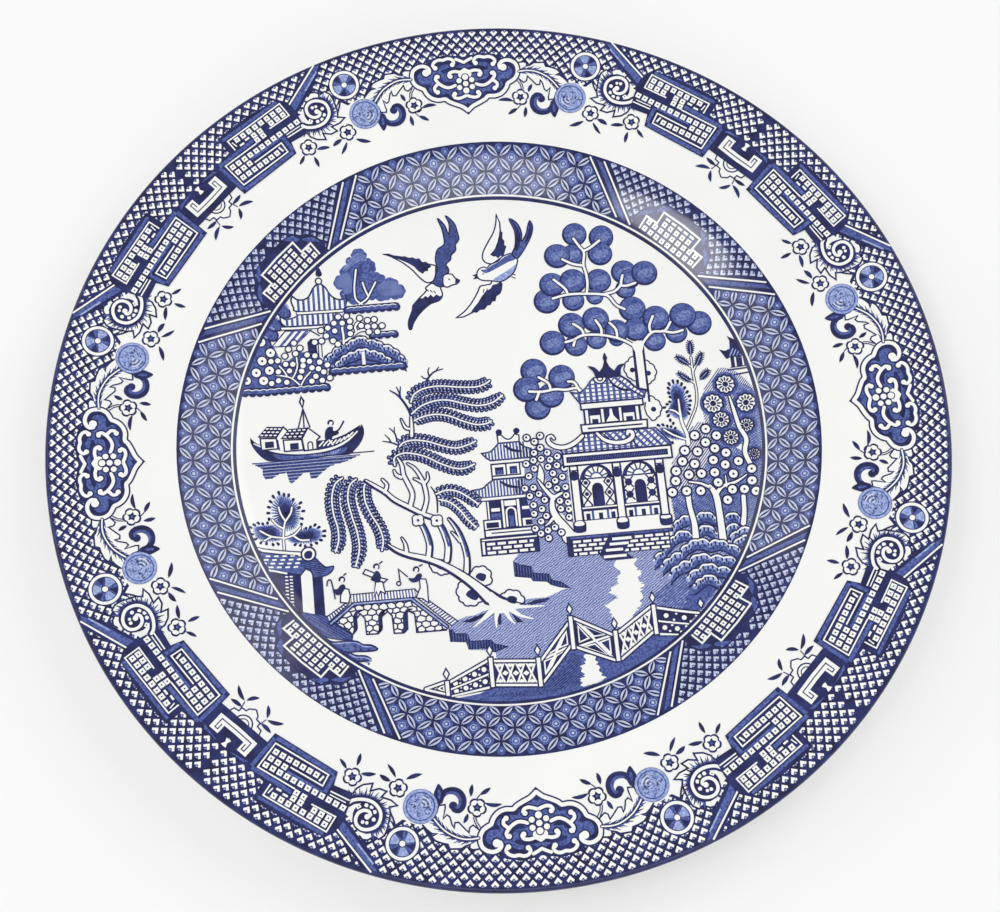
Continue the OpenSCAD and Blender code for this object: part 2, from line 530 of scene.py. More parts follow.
def comma_scroll(sheet):
    """The dark curl under the leaf, and the bud at its tail."""
    curl = [
        (22.4, 105.3, 1.7), (22.4, 106.1, 1.8), (21.3, 106.4, 1.9), (20.3, 105.3, 2.1), (20.1, 103.5, 2.2),
        (20.9, 101.9, 2.2), (22.4, 101.1, 2.0), (24.2, 101.2, 1.8), (25.5, 102.2, 1.6), (26, 103.8, 1.2),
    ]
    sheet.curve(NAVY, 6, curl)
    sheet.dot(NAVY, 6, 22.7, 105.2, 1.15)
    sheet.curve(BLUE, 7, [(22.2, 105.6, 0.6), (21.4, 105.7, 0.7), (20.8, 104.6, 0.8), (20.8, 103.2, 0.8),
                          (21.6, 102.1, 0.8), (23, 101.6, 0.7), (24.4, 101.9, 0.5)], ends=False)
    sheet.blob(NAVY, 6.5, [(25.2, 101.6), (25.2, 100.4), (26.2, 98.9), (27.2, 100.4), (27.7, 101.8),
                           (27.1, 103.4), (26.4, 104.8), (25.6, 103.4)])
    sheet.blob(BLUE, 7.5, [(25.8, 101.7), (26, 100.6), (26.6, 101), (26.6, 102.4), (26.2, 103.2)])


def jagged_scroll(sheet):
    """The white spiral with a jagged leaf round it."""
    leaf = [
        (48.4, 111.0), (47.6, 112.1), (46.2, 112.3), (44.5, 111.5), (43.3, 112.4), (41.7, 111.5),
        (40.8, 109.8), (40.2, 107.6), (39.7, 105.8), (39.9, 104.0), (37.7, 103.8), (39.3, 102.2),
        (41.9, 101.1), (40.3, 99.7), (42.2, 98.8), (44.7, 99.2), (43.9, 97.2), (46.5, 97.3), (48.4, 98.2),
        (49.3, 99.4), (50.5, 101.5),
    ]
    sheet.fill(WHITE, 4, leaf + [(50, 106)])
    sheet.line(NAVY, 5, leaf[:-1], 0.5)
    sheet.line(NAVY, 5, [(38.7, 109), (39.1, 107.2), (39.8, 105.2)], 0.5)
    spiral = [
        (45.9, 106.1), (45.1, 105.7), (45.5, 104.7), (46.9, 104.3), (48.3, 104.9), (49.1, 106.3), (49, 107.8),
        (48, 109), (46.6, 109.5), (45, 109.4), (43.5, 108.7), (42.6, 107.3), (42.3, 105.6), (42.8, 104),
        (44, 102.5), (45.7, 101.6), (47.6, 101.2), (49.5, 101.3), (50.7, 101.9),
    ]
    # A dark fringe of short strokes stands out from the spiral.
    fringe = smooth(spiral[9:-1], 5)
    for i, (x, y) in enumerate(fringe):
        a = math.atan2(y - 105.5, x - 46.2) - 0.35
        reach = 2.5 + 0.8 * math.sin(2.4 * i)
        tip = (x + reach * math.cos(a), y + reach * math.sin(a), 0.1)
        sheet.line((NAVY, BLUE)[i % 2], 6, [(x, y, 1.0), tip], ends=False)
    sheet.curve(NAVY, 6.5, spiral[8:], 2.3)
    sheet.dot(NAVY, 7, 46.3, 105.8, 3.6, 24)
    for x, y, r in ((47.3, 107.4, 0.55), (46.2, 107.7, 0.5), (44.3, 107, 0.6), (43.9, 105, 0.6),
                    (44.6, 103.6, 0.6), (46, 103.0, 0.6), (48.1, 103.2, 0.75), (50.4, 104.0, 0.6)):
        sheet.dot(WHITE, 8, x, y, r, 6)
    sheet.dot(NAVY, 9, 48.1, 103.2, 0.2, 6)
    sheet.ribbon(9, spiral, 0.9, knobs=[(46.0, 106.1, 0.75)])


def strip(sheet):
    """The slanted strip that divides the lattice, from the rim to the fret."""
    sheet.fill(NAVY, 3, [(43.2, 121.6), (48.2, 119.6), (55.4, 108.4), (53.5, 105.5), (51.5, 106.6),
                         (46.8, 114)])
    sheet.fill(BLUE, 4, [(44.2, 121), (45.6, 120.4), (53.7, 108.6), (52.6, 106.6), (47.4, 114.8)])
    sheet.line(PALE, 5, [(45.2, 118.8), (49, 113)], 0.5, ends=False)
    sheet.line(WHITE, 5, [(45.9, 120.9), (54.3, 108.6)], 0.5, ends=False)


def fret(sheet):
    """The stepped fret of dotted squares beside the diagonal, with the diagonal pointing up."""
    ground = [
        (-38.6, 116), (-36.6, 119.2), (-29, 121.6), (-20, 123.3), (-15.6, 123.7), (-14.9, 118.4),
        (-8.6, 118.3), (-8.3, 106.5), (-28.4, 103.5), (-30, 106.9), (-35.3, 105.2), (-36.6, 108),
        (-38.4, 112.6),
    ]
    sheet.fill(NAVY, 10, ground)
    for start, end, count in (
        ((-35.1, 116.4), (-19.6, 119.4), 8), ((-34.8, 114.5), (-30.5, 115.4), 3),
        ((-26.3, 116.2), (-24.1, 116.6), 2), ((-25.9, 114.5), (-23.7, 114.9), 2),
        ((-35.9, 109.9), (-12.3, 114.6), 12), ((-16.5, 111.7), (-12.2, 112.4), 3),
        ((-24.5, 107.8), (-12, 110.2), 7),
    ):
        squares(sheet, 12, start, end, count)
    sheet.line(WHITE, 12, [(-28.8, 114.6), (-36, 113), (-36.8, 117.6), (-17.3, 121.1), (-16.8, 117.6)],
               0.42, ends=False)
    sheet.line(WHITE, 12, [(-22.7, 114.4), (-11, 116.4), (-10.3, 108.5), (-27, 105.7), (-27.8, 109),
                           (-17.8, 110.8)], 0.42, ends=False)
    sheet.line(WHITE, 12, [(-36, 107.3), (-30.4, 108.7)], 0.4, ends=False)
    sheet.line(WHITE, 12, [(-35.6, 108.4), (-30.8, 109.5)], 0.3, ends=False)
    sheet.line(WHITE, 12, [(-26.3, 106.8), (-26.2, 108.6)], 0.6, ends=False)
    sheet.line(WHITE, 12, [(-18, 118), (-17.9, 119.9)], 0.35, ends=False)
    for x in (-21.8, -19.5):
        sheet.line(WHITE, 12, [(x - 0.8, 117.2), (x + 0.7, 117.5)], 0.6, ends=False)
    for bar in (
        [(-22.6, 115.7), (-9.7, 117.6)], [(-9.5, 117.2), (-9.2, 107.6)], [(-9.6, 107.2), (-28, 104.5)],
        [(-28.4, 104.8), (-29.4, 109.9)], [(-29, 110.4), (-18, 112.4)],
    ):
        sheet.line(BLUE, 11, bar, 1.1, ends=False)
    sheet.line(BLUE, 11, [(-36.5, 118.6), (-16.4, 122.4)], 0.9, ends=False)


def corner_key(sheet):
    """The left half of the key on the diagonal, and of the half flower that hangs under it."""
    sheet.fill(NAVY, 10, [(-8.8, 109.7), (-8.8, 118.4), (0, 118.7), (0, 109.7)])
    sheet.fill(BLUE, 11, [(-8.1, 116.9), (-7.2, 118), (-2.2, 118.2), (-6.8, 117.2)])
    sheet.fill(WHITE, 12, [(-6.6, 111.8), (-6.6, 116.6), (-3.5, 116.6), (-3.5, 113.9), (0, 113.8),
                           (0, 111.6)])
    sheet.line(NAVY, 13, [(-4.3, 114.0), (-4.3, 115.7), (-5.3, 115.7), (-5.3, 112.8), (0, 112.7)], 0.32,
               ends=False)
    sheet.fill(WHITE, 12, [(0, 115.7), (-0.8, 115.9), (-0.35, 117), (-0.9, 118.1), (0, 118.2)])
    petals = [(-5.3, 109.7), (-4.9, 108.5), (-3.4, 108.3), (-3.3, 107.1), (-1.9, 107), (-1.6, 106.1),
              (0, 105)]
    sheet.fill(WHITE, 4, petals + [(0, 110)])
    sheet.line(NAVY, 5, petals, 0.4, ends=False)
    for r, width in ((2.6, 0.42), (1.6, 0.3)):
        sheet.line(NAVY, 6, arc(0, 110.4, r, 180, 270, 10), width, ends=False)
    sheet.line(NAVY, 5, [(-3.4, 107.8), (-3.9, 105.4)], 0.3)
    sheet.leaf(NAVY, 5, -3.5, 107, -7.4, 107.3, 1.15, 0.15)
    sheet.leaf(NAVY, 5, -4.2, 105.2, -8.4, 103, 1.15, -0.4)
    sheet.leaf(NAVY, 5, -3.8, 104.9, -1.5, 102, 1.1, -0.3)


def border_octant(rng):
    """One eighth of the rim's border, from the middle of a cartouche to the diagonal."""
    octant, corner = Sheet(), Sheet()
    octant.fill(NAVY, 0, BORDER_GROUND)
    cartouche(octant)
    leaf_spray(octant)
    comma_scroll(octant)
    strip(octant)
    jagged_scroll(octant)
    octant.add(wheel(), at=(37.1, 114.1))
    octant.add(speckled_disc(rng), at=(31.5, 104.6))
    octant.line(NAVY, 5, [(15.9, 111.6), (16.7, 110.2), (16.9, 108.9)], 0.3)
    octant.line(NAVY, 5, [(16.5, 111.9), (17.3, 110.2), (17.5, 108.9)], 0.3)
    octant.add(blossom(), 8, at=(16.3, 106.3))
    octant.add(blossom(), -20, at=(37.2, 99.1))
    octant.add(blossom(), 0, at=(49.3, 94.9))
    for x0, y0, x1, y1, width, bend in (
        (18.9, 107.7, 20.3, 110.2, 1.1, 0.1), (17.7, 103.2, 17.0, 99.8, 1.15, 0.1),
        (15.3, 102.9, 12.1, 101.2, 1.15, -0.1), (14.2, 105.2, 9.4, 105.9, 1.1, -0.5),
        (39.0, 97.0, 41.9, 94.9, 1.3, 0.2), (37.6, 96.2, 39.6, 92.2, 1.0, -0.2),
        (34.9, 96.9, 30.3, 95.8, 1.2, 0.2), (47.0, 94.2, 42.8, 94.7, 1.15, -0.15),
        (50.7, 92.6, 52.4, 89.6, 1.0, -0.1), (47.9, 92.0, 46.6, 88.6, 1.1, -0.1),
    ):
        octant.leaf(NAVY, 5, x0, y0, x1, y1, width, bend)
    octant.line(NAVY, 5, [(14.2, 105.1), (15.4, 104.6), (16.2, 103.9), (15.3, 103.0)], 0.3)
    fret(corner)
    corner_key(corner)
    octant.add(corner, 45)
    return octant


def rim_border():
    """The whole border: eight octants, with the scale lattice laid by quarters."""
    quarter, whole = Sheet(), Sheet()
    scale_lattice(quarter, BORDER_GROUND, top_r=127.8, low_r=106, row=1.63, per_quarter=60, size=0.85,
                  tone=WHITE)
    octant = border_octant(random.Random(4))
    for i in range(4):
        whole.add(quarter, 90 * i)
        whole.add(octant, 90 * i)
        whole.add(octant, 90 * i, mirror=True)
    return whole


# ---------------------------------------------------------------- the band on the shoulder

BAND_IN_R = 77.0
BAND_OUT_R = 93.4
BAND_RING_R = 78.3
LENS_ROWS = (92.9, 89.0, 85.0, 81.5, 78.4)
LENS_PITCH = 5.14
# The lattice of lenses ends at the divider, which slants from the outer edge to the inner one.
LENS_END_OUT = 22.6
LENS_END_IN = 32.0


def lens(sheet, a, b):
    """A light lens with a dark line down its middle, between two knots of the lattice."""
    (x0, y0), (x1, y1) = a, b
    trim = 0.08
    x0, y0, x1, y1 = (
        x0 + (x1 - x0) * trim, y0 + (y1 - y0) * trim, x1 + (x0 - x1) * trim, y1 + (y0 - y1) * trim,
    )
    sheet.leaf(NAVY, 3, x0, y0, x1, y1, 2.35)
    sheet.leaf(MIST, 4, x0, y0, x1, y1, 1.7)
    sheet.leaf(NAVY, 5, x0, y0, x1, y1, 0.55)


def lens_arc():
    """The lattice of lenses across the top of the band."""
    sheet = Sheet()

    def knot(k, j):
        """The radius and the turn of a knot of the lattice."""
        return LENS_ROWS[k], (j + (0 if k % 2 else 0.5)) * LENS_PITCH

    def clear(r, turn):
        """True where the lattice stops short of the dividers."""
        out = (r - BAND_IN_R) / (BAND_OUT_R - BAND_IN_R)
        return abs(turn) < LENS_END_IN + (LENS_END_OUT - LENS_END_IN) * out

    for k in range(len(LENS_ROWS) - 1):
        for j in range(-7, 8):
            here = knot(k, j)
            for side in (0, 1):
                there = knot(k + 1, j + side if k % 2 == 0 else j - side)
                if clear(*here) or clear(*there):
                    lens(sheet, polar(*here), polar(*there))
    for k in range(len(LENS_ROWS) - 2):
        for j in range(-6, 7):
            r = (LENS_ROWS[k] + LENS_ROWS[k + 2]) / 2
            turn = (j + (0 if k % 2 else 0.5)) * LENS_PITCH
            if clear(r, turn):
                x, y = polar(r, turn)
                size = (LENS_ROWS[k] - LENS_ROWS[k + 2]) / 7.9
                sheet.dot(BLUE, 1, x, y, 2.0 * size, 8)
                sheet.ring(PALE, 2, x, y, 1.0 * size, 0.28 * size, 12)
                sheet.dot(MIST, 2, x, y, 0.42 * size, 10)
    for j in range(-5, 6):
        x, y = polar(91.7, j * LENS_PITCH)
        if clear(91.7, j * LENS_PITCH):
            sheet.dot(BLUE, 1, x, y, 1.3, 8)
            sheet.dot(PALE, 2, x, y, 0.4, 6)
    return sheet


SCALES_REGION = (
    [polar(93, a) for a in steps(25.2, 45, 6) + [45]]
    + [(63.2, 63.2), (58.4, 66.8), (53, 67.6), (49.4, 67), (46, 64.4), (39.8, 83.6)]
)


def divider(sheet):
    """The slanted strips at the left of a diagonal, with the diagonal pointing up."""
    sheet.fill(NAVY, 6, [(-36.6, 85.6), (-30.3, 88), (-12.4, 78.7), (-19.3, 77.2)])
    sheet.fill(BLUE, 7, [(-33.2, 86.4), (-31.2, 86.6), (-14.8, 78.0), (-16.9, 77.8)])
    sheet.line(WHITE, 7, [(-31, 87.3), (-13.1, 78.1)], 0.5, ends=False)
    sheet.line(WHITE, 7, [(-35.3, 85.8), (-17.8, 77.4)], 0.5, ends=False)


def cloud_half(sheet):
    """The left half of the dark cloud behind a stepped panel."""
    sheet.fill(NAVY, 8, smooth([(0, 89.3), (-4.8, 89.2), (-7.3, 88.7), (-8.8, 87), (-11.2, 86), (-13, 83.6),
                                (-13.5, 81), (-12.8, 78.3)], 4) + [(0, 78.6)])
    sheet.blob(BLUE, 9, [(-9.1, 85.9), (-8, 88), (-5.4, 88.9), (-6.4, 87.6), (-7.8, 86)])
    sheet.blob(BLUE, 9, [(-13, 81), (-12.3, 83.6), (-9.6, 85.3), (-10.6, 83.4), (-11.9, 82.4)])
    sheet.line(WHITE, 10, [(-10.2, 79), (-10.6, 82.9), (-6.7, 83.1), (-6.9, 86.6), (0, 86.9)], 0.55,
               ends=False)


def stepped_panel():
    """The rows of dotted squares inside a stepped panel."""
    sheet = Sheet()
    for y, reach, count in ((79.9, 8.8, 9), (82.0, 8.8, 9), (84.0, 4.5, 5)):
        squares(sheet, 10, (-reach, y), (reach, y), count, 0.74)
    for x in steps(-4.5, 6.75, 5):
        sheet.line(WHITE, 10, [(x - 0.8, 85.6), (x + 0.8, 85.6)], 0.7, ends=False)
    return sheet


def shoulder_band():
    """The whole band, and the ring inside it."""
    whole, quarter, half = Sheet(), Sheet(), Sheet()
    whole.ring(NAVY, 0, 0, 0, (BAND_IN_R + BAND_OUT_R) / 2, BAND_OUT_R - BAND_IN_R, 180)
    scale_lattice(quarter, SCALES_REGION, top_r=92.4, low_r=77, row=1.5, per_quarter=46, size=0.76,
                  tone=MIST)
    quarter.add(lens_arc())
    quarter.add(stepped_panel(), 45)
    divider(half)
    cloud_half(half)
    for i in range(4):
        whole.add(quarter, 90 * i)
        whole.add(half, 90 * i + 45)
        whole.add(half, 90 * i + 45, mirror=True)
    whole.ring(WHITE, 11, 0, 0, BAND_RING_R, 0.55, 180)
    return whole


# ---------------------------------------------------------------- helps for the picture


def edged(sheet, tone, level, outline, edge):
    """A filled outline with a navy line round it."""
    sheet.fill(tone, level, outline)
    sheet.line(NAVY, level + 1, outline, edge, closed=True)


def hatch(sheet, tone, level, outline, spacing, width, lean=0.0, trim=0.0):
    """Parallel lines across an outline, turned anticlockwise from level by lean degrees."""
    c, s = math.cos(math.radians(lean)), math.sin(math.radians(lean))
    turned = [(x * c + y * s, y * c - x * s) for x, y in outline]
    low, high = min(p[1] for p in turned), max(p[1] for p in turned)
    for i in range(int((high - low) / spacing)):
        v = low + spacing * (i + 0.5)
        cuts = sorted(
            ax + (v - ay) * (bx - ax) / (by - ay)
            for (ax, ay), (bx, by) in zip(turned, turned[1:] + turned[:1])
            if (ay > v) != (by > v)
        )
        for a, b in zip(cuts[::2], cuts[1::2]):
            if b - a > 2 * trim + 0.2:
                span = [(u * c - v * s, u * s + v * c) for u in (a + trim, b - trim)]
                sheet.line(tone, level, span, width, ends=False)


def scallops(points, bulge, n=4):
    """An outline of bulges, one from each point to the next, with the points anticlockwise."""
    path = []
    for (x0, y0), (x1, y1) in zip(points, points[1:] + points[:1]):
        for t in steps(0, 1, n):
            out = 4 * bulge * t * (1 - t)
            path.append((x0 + (x1 - x0) * t + (y1 - y0) * out, y0 + (y1 - y0) * t - (x1 - x0) * out))
    return path


def berries(sheet, level, places, r=0.78, eye=0.0):
    """White discs with navy rims, and a navy eye in the large ones."""
    for x, y in places:
        sheet.dot(NAVY, level, x, y, r + 0.42)
        sheet.dot(WHITE, level + 1, x, y, r)
        if eye:
            sheet.dot(NAVY, level + 2, x, y, eye, 8)


def bank(sheet, level, x0, x1, y, thick):
    """A long low bank: a dark band with lobes beneath it and a wavy white line along it."""
    count = round((x1 - x0) / thick / 0.8)
    for i in range(count + 1):
        x = x0 + (x1 - x0) * i / count
        sheet.dot(NAVY, level, x, y - thick * 0.08, thick * 0.46, 14)
    sheet.line(NAVY, level, [(x0, y + 0.08 * thick), (x1, y + 0.08 * thick)], thick * 0.82)
    sheet.line(BLUE, level + 1, [(x0, y + 0.04 * thick), (x1, y + 0.04 * thick)], thick * 0.42)
    for i in range(count):
        x = x0 + (x1 - x0) * (i + 0.5) / count
        low, high = y + 0.2 * thick, y + 0.3 * thick
        sheet.curve(WHITE, level + 2, [(x - 0.42 * thick, low), (x, high), (x + 0.36 * thick, low)], 0.24)


def stems(sheet, level, paths, width, edge):
    """Light stems with navy edges, smooth through their points."""
    for points in paths:
        spine = [(p[0], p[1], p[2] if len(p) > 2 else width) for p in points]
        sheet.curve(NAVY, level, [(x, y, w + 2 * edge) for x, y, w in spine])
        sheet.curve(WHITE, level + 1, spine)


# ---------------------------------------------------------------- the island


def island_pavilion(sheet):
    """The pavilion with striped roofs."""
    sheet.blob(NAVY, 2, [(-49.5, 59.3), (-48.5, 57.2), (-49.2, 56.4), (-50.1, 56.5), (-50.4, 57.5)])
    berries(sheet, 3, [(-49.7, 55.0)], 0.72)
    upper = smooth([(-49.1, 54.1), (-47.8, 52.9), (-46.4, 50.3), (-44.3, 48.8), (-41.5, 48.7)]) + smooth(
        [(-42.1, 46.6), (-43.2, 45.5), (-56.2, 45.8), (-57.7, 47.2), (-58.3, 49.2), (-57.8, 50.5)]
    ) + smooth([(-56.6, 49.5), (-54.7, 49.4), (-53, 50.3), (-51.6, 52.7), (-50.3, 54.1)])
    edged(sheet, WHITE, 0, upper, 0.5)
    hatch(sheet, BLUE, 1, upper, 1.55, 0.75, 90)
    lower = smooth([(-45.2, 44.6), (-45.2, 41)], 1) + smooth([(-60.4, 41.3), (-61.6, 42.4), (-61.9, 44.3)])
    lower += smooth([(-60.2, 43.4), (-57.9, 43.9), (-56.4, 44.8)])
    edged(sheet, WHITE, 0, lower, 0.45)
    hatch(sheet, BLUE, 1, lower, 1.55, 0.75, 90)
    porch = [(-53.0, 39.6), (-57.9, 35.2), (-64.9, 35.1), (-60.6, 39.9)]
    edged(sheet, WHITE, 0, porch, 0.4)
    hatch(sheet, BLUE, 1, porch, 1.6, 0.8, 48)
    sheet.ribbon(3, [(-56.6, 45.3), (-43.2, 45.0)], 0.6, 0.32)
    sheet.ribbon(3, [(-61.5, 40.7), (-49.6, 40.4)], 0.6, 0.32)
    sheet.fill(NAVY, 2, [(-54.2, 31.4), (-54.3, 35.8), (-53.2, 36.9), (-51.7, 36.4), (-51.4, 31.4)])
    sheet.line(NAVY, 2, [(-52.9, 39.3), (-50.6, 37.6)], 0.4)
    for x in (-51.1, -50.1):
        sheet.line(NAVY, 2, [(x, 36.6), (x, 30.8)], 0.3)


def island_shrubs(sheet):
    """Round white flowers on shrubs, before and beside the pavilion."""
    ground = [(-68.6, 35.3), (-64.2, 34.9), (-62.3, 30), (-61.5, 25), (-60.8, 22.2), (-74.3, 22.2),
              (-72.6, 28), (-70.6, 32.3)]
    sheet.fill(BLUE, 0, ground)
    berries(sheet, 3, [(-68, 36.6), (-65.4, 33.3), (-68, 30.8), (-66, 27.8), (-69.9, 27.2), (-67.9, 24.7)],
            1.3, 0.35)
    berries(sheet, 3, [(-72.8, 24.8)], 1.2, 0.35)
    sheet.fill(BLUE, 0, [(-63, 28.5), (-59.5, 31), (-57, 33), (-52, 32), (-49.6, 29.5), (-48.8, 26),
                         (-50, 22.2), (-62, 22.2)])
    stems(sheet, 2, [
        [(-64, 26.2), (-61.5, 25.6), (-59.6, 24.8), (-57.4, 22.6)],
        [(-57.8, 31.2), (-57.7, 28.4), (-58.6, 26), (-59.3, 25)],
        [(-54, 26.3), (-55.6, 24.6), (-56.9, 22.5)],
        [(-63, 29), (-61.7, 27.2), (-61, 25.8)],
    ], 0.42, 0.35)
    berries(sheet, 4, [
        (-58.3, 35.9), (-60, 34.1), (-56.6, 34.1), (-61.2, 32), (-58, 32.5), (-54.6, 31.8), (-65.4, 30.6),
        (-63.4, 30.7), (-61.1, 29.4), (-59, 29.2), (-55.9, 30.2), (-54, 29.7), (-52.3, 31.3), (-52.1, 35.6),
        (-50, 35.8), (-63.4, 27.2), (-60.1, 27.2), (-56, 28.5), (-56.5, 26.8), (-53.4, 27.6), (-51.5, 27.1),
        (-51, 29.2), (-48.8, 28.1), (-50, 26), (-57.1, 24.9), (-52.4, 24.8), (-65.6, 23.7), (-63.5, 24.4),
        (-61.1, 23.7), (-53.7, 23.4), (-50.6, 23.4), (-48.3, 24),
    ])
    sheet.fill(BLUE, 0, [(-48.8, 38.2), (-46.9, 42), (-42, 42.6), (-40.9, 38), (-41.4, 35.9), (-47.6, 35.2)])
    stems(sheet, 2, [
        [(-43.5, 34.4), (-43.4, 37), (-43.6, 39.4), (-42.9, 41)],
        [(-43, 35.2), (-40.6, 36.7), (-38.8, 38), (-36.8, 38.3)],
        [(-39.4, 37.6), (-39.7, 39.6), (-38.6, 41)],
    ], 0.6, 0.35)
    berries(sheet, 4, [
        (-44.6, 43.1), (-42.1, 43.1), (-46, 41.2), (-43.5, 41), (-41.2, 41.4), (-38.2, 42.1), (-35.9, 41.2),
        (-33.9, 41.3), (-50, 39.2), (-47.9, 39.8), (-45.9, 38.7), (-41.3, 39.5), (-37.9, 39.7), (-36, 39.2),
        (-34, 39.2), (-31.7, 39.1), (-48.5, 37.3), (-41.3, 37.4), (-35.7, 37.5), (-33.2, 37.3),
        (-46.6, 35.6), (-45.2, 34.4),
    ])


def crest(sheet, level, ridge, depth):
    """A bank of rounded lobes: a light edge along its ridge, dark strokes under it and blue beneath."""
    rim = [ridge[0]]
    for (x0, y0), (x1, y1) in zip(ridge, ridge[1:]):
        for t in (0.15, 0.35, 0.6, 0.85, 1):
            rise = 0.22 * math.sin(math.pi * t)
            rim.append((x0 + (x1 - x0) * t + (y0 - y1) * rise, y0 + (y1 - y0) * t + (x1 - x0) * rise))
    sheet.fill(BLUE, level, rim + [(x, y - depth) for x, y in reversed(ridge)])
    sheet.curve(NAVY, level + 1, [(x, y - depth) for x, y in ridge], 0.5)
    sheet.line(PALE, level + 0.5, [(x, y - 1.1) for x, y in rim], 1.4)
    sheet.line(WHITE, level + 1, [(x, y - 0.42) for x, y in rim], 0.6)
    sheet.line(NAVY, level + 2, rim, 0.42)
    for i in range(2, len(rim) - 1, 2):
        x, y = rim[i]
        sheet.line(NAVY, level + 2, [(x, y - 1.0), (x, y - 1.6)], 0.5)
        sheet.line(NAVY, level + 2, [(x + 0.4, y - 2.3), (x + 0.5, y - 2.7)], 0.34)


def island_land(sheet):
    """The hill, the long banks and the rocks against the edge of the picture."""
    hill = smooth([(-25.2, 27.3), (-27, 29.6), (-28.8, 31.8), (-31.6, 33.2), (-33.6, 34.7), (-36.2, 35.3),
                   (-38.3, 36.5), (-40.2, 35.9), (-42.4, 34.7), (-45, 34), (-47.2, 31.9), (-49.6, 30.4),
                   (-48.4, 27.2)])
    edged(sheet, WHITE, 0, hill, 0.55)
    crest(sheet, 1, [(-49, 30.4), (-47.2, 31.9), (-45, 33.8), (-42.4, 34.6), (-40.2, 35.7), (-38.3, 36.3),
                     (-36.2, 35.2), (-33.6, 34.4), (-31.6, 33), (-28.8, 31.6), (-27, 29.6),
                     (-25.6, 27.6)], 3.4)
    crest(sheet, 3, [(-46.8, 27.6), (-45, 29.4), (-43, 31), (-40.6, 31.6), (-38.2, 32.4), (-35.8, 31.6),
                     (-33.4, 30.9), (-31.4, 29.4), (-29.4, 27.6)], 3.2)
    sheet.fill(BLUE, 0.5, [(-48, 27), (-46, 30), (-38, 33), (-31, 30), (-27, 27)])
    sheet.fill(WHITE, 6, [(-38.4, 27.2), (-38.4, 31.4), (-37.5, 31.4), (-37.4, 27.2)])
    bank(sheet, 7, -41.6, -27, 45.0, 2.8)
    bank(sheet, 7, -34.8, -28, 36.2, 2.5)
    bank(sheet, 7, -47.4, -26.4, 25.9, 2.8)
    bank(sheet, 7, -73.6, -49.4, 21.2, 2.7)
    for outline in (
        [(-62.9, 46.4), (-61, 48.6), (-59.4, 47.4), (-58.9, 44.4), (-61.4, 44.2)],
        [(-66.6, 42.4), (-64.6, 44.3), (-62.9, 44), (-61.4, 41.5), (-60.4, 40.7), (-64.5, 40)],
        [(-68.4, 39), (-66, 41), (-64.4, 40.9), (-62.8, 38.8), (-64.3, 36.9)],
        [(-71, 35.6), (-68.5, 38.7), (-66.5, 38.2), (-65.2, 36.4), (-65.8, 34.8)],
    ):
        outline = smooth(outline, 4, closed=True)
        edged(sheet, BLUE, 0, outline, 0.5)
        sheet.line(PALE, 2, outline[3:10], 0.5)


def island_tree(sheet):
    """The tree with a mass of hatched leaves."""
    crown = scallops([
        (-35.2, 63.6), (-37.2, 64.5), (-39, 63.4), (-39.2, 61.9), (-40.9, 61.5), (-40.4, 59.5), (-42.4, 58.8),
        (-43, 56.6), (-44.8, 55.2), (-44.8, 53), (-42.7, 51.9), (-43.4, 49.6), (-41.2, 47.8), (-38.4, 46.9),
        (-34.9, 47.9), (-33, 48.1), (-30.2, 47.3), (-28.4, 48), (-25.9, 47.5), (-24.3, 48.7), (-24, 50.6),
        (-25.7, 52.1), (-27.1, 54), (-29.5, 54.1), (-31, 55.9), (-33, 56.5), (-32.3, 58.6), (-33.3, 60.5),
        (-34.9, 61.5),
    ], 0.24, 5)
    sheet.fill(BLUE, 0, crown)
    for outline in ([(-35.4, 62.8), (-38.4, 63), (-40.2, 61.4), (-42, 58.4), (-40, 58.4), (-37, 60.6),
                     (-34.8, 60.8)],
                    [(-27.4, 53.4), (-25, 51.2), (-24.8, 49.2), (-27, 48.6), (-31, 49), (-31.6, 52.8)],
                    [(-44.2, 54.8), (-44.2, 53.2), (-42, 52), (-42.6, 50.2), (-40, 51.2), (-40, 56),
                     (-42, 57)]):
        hatch(sheet, PALE, 1, smooth(outline, closed=True), 0.6, 0.2, 35)
    for outline in ([(-38.5, 56), (-36.6, 61), (-36.2, 57), (-37.6, 52)],
                    [(-32.5, 50.6), (-29.5, 51.2), (-26.5, 50.6), (-30, 49.8)],
                    [(-43, 48.8), (-41, 51), (-40, 50.6), (-40.2, 47.8)],
                    [(-34, 60), (-32.6, 59.2), (-32.8, 57.4), (-34.4, 57)]):
        hatch(sheet, NAVY, 1, outline, 0.6, 0.3, 35)
    stems(sheet, 2, [
        [(-37, 46.4), (-38.9, 48.4), (-39.1, 52), (-38.6, 55.6), (-38.2, 58)],
        [(-38, 46.6), (-35.6, 48.2), (-34.3, 50.4), (-32.6, 53.4)],
        [(-35.2, 49.2), (-35.9, 51.2), (-36.5, 53.6)],
    ], 0.5, 0.38)


def island():
    """The island at the upper left of the picture."""
    sheet = Sheet()
    island_tree(sheet)
    island_land(sheet)
    shrubs = Sheet()
    island_shrubs(shrubs)
    house = Sheet()
    island_pavilion(house)
    sheet.add(house, lift=3)
    sheet.add(shrubs, lift=6)
    return sheet


# ---------------------------------------------------------------- the two doves


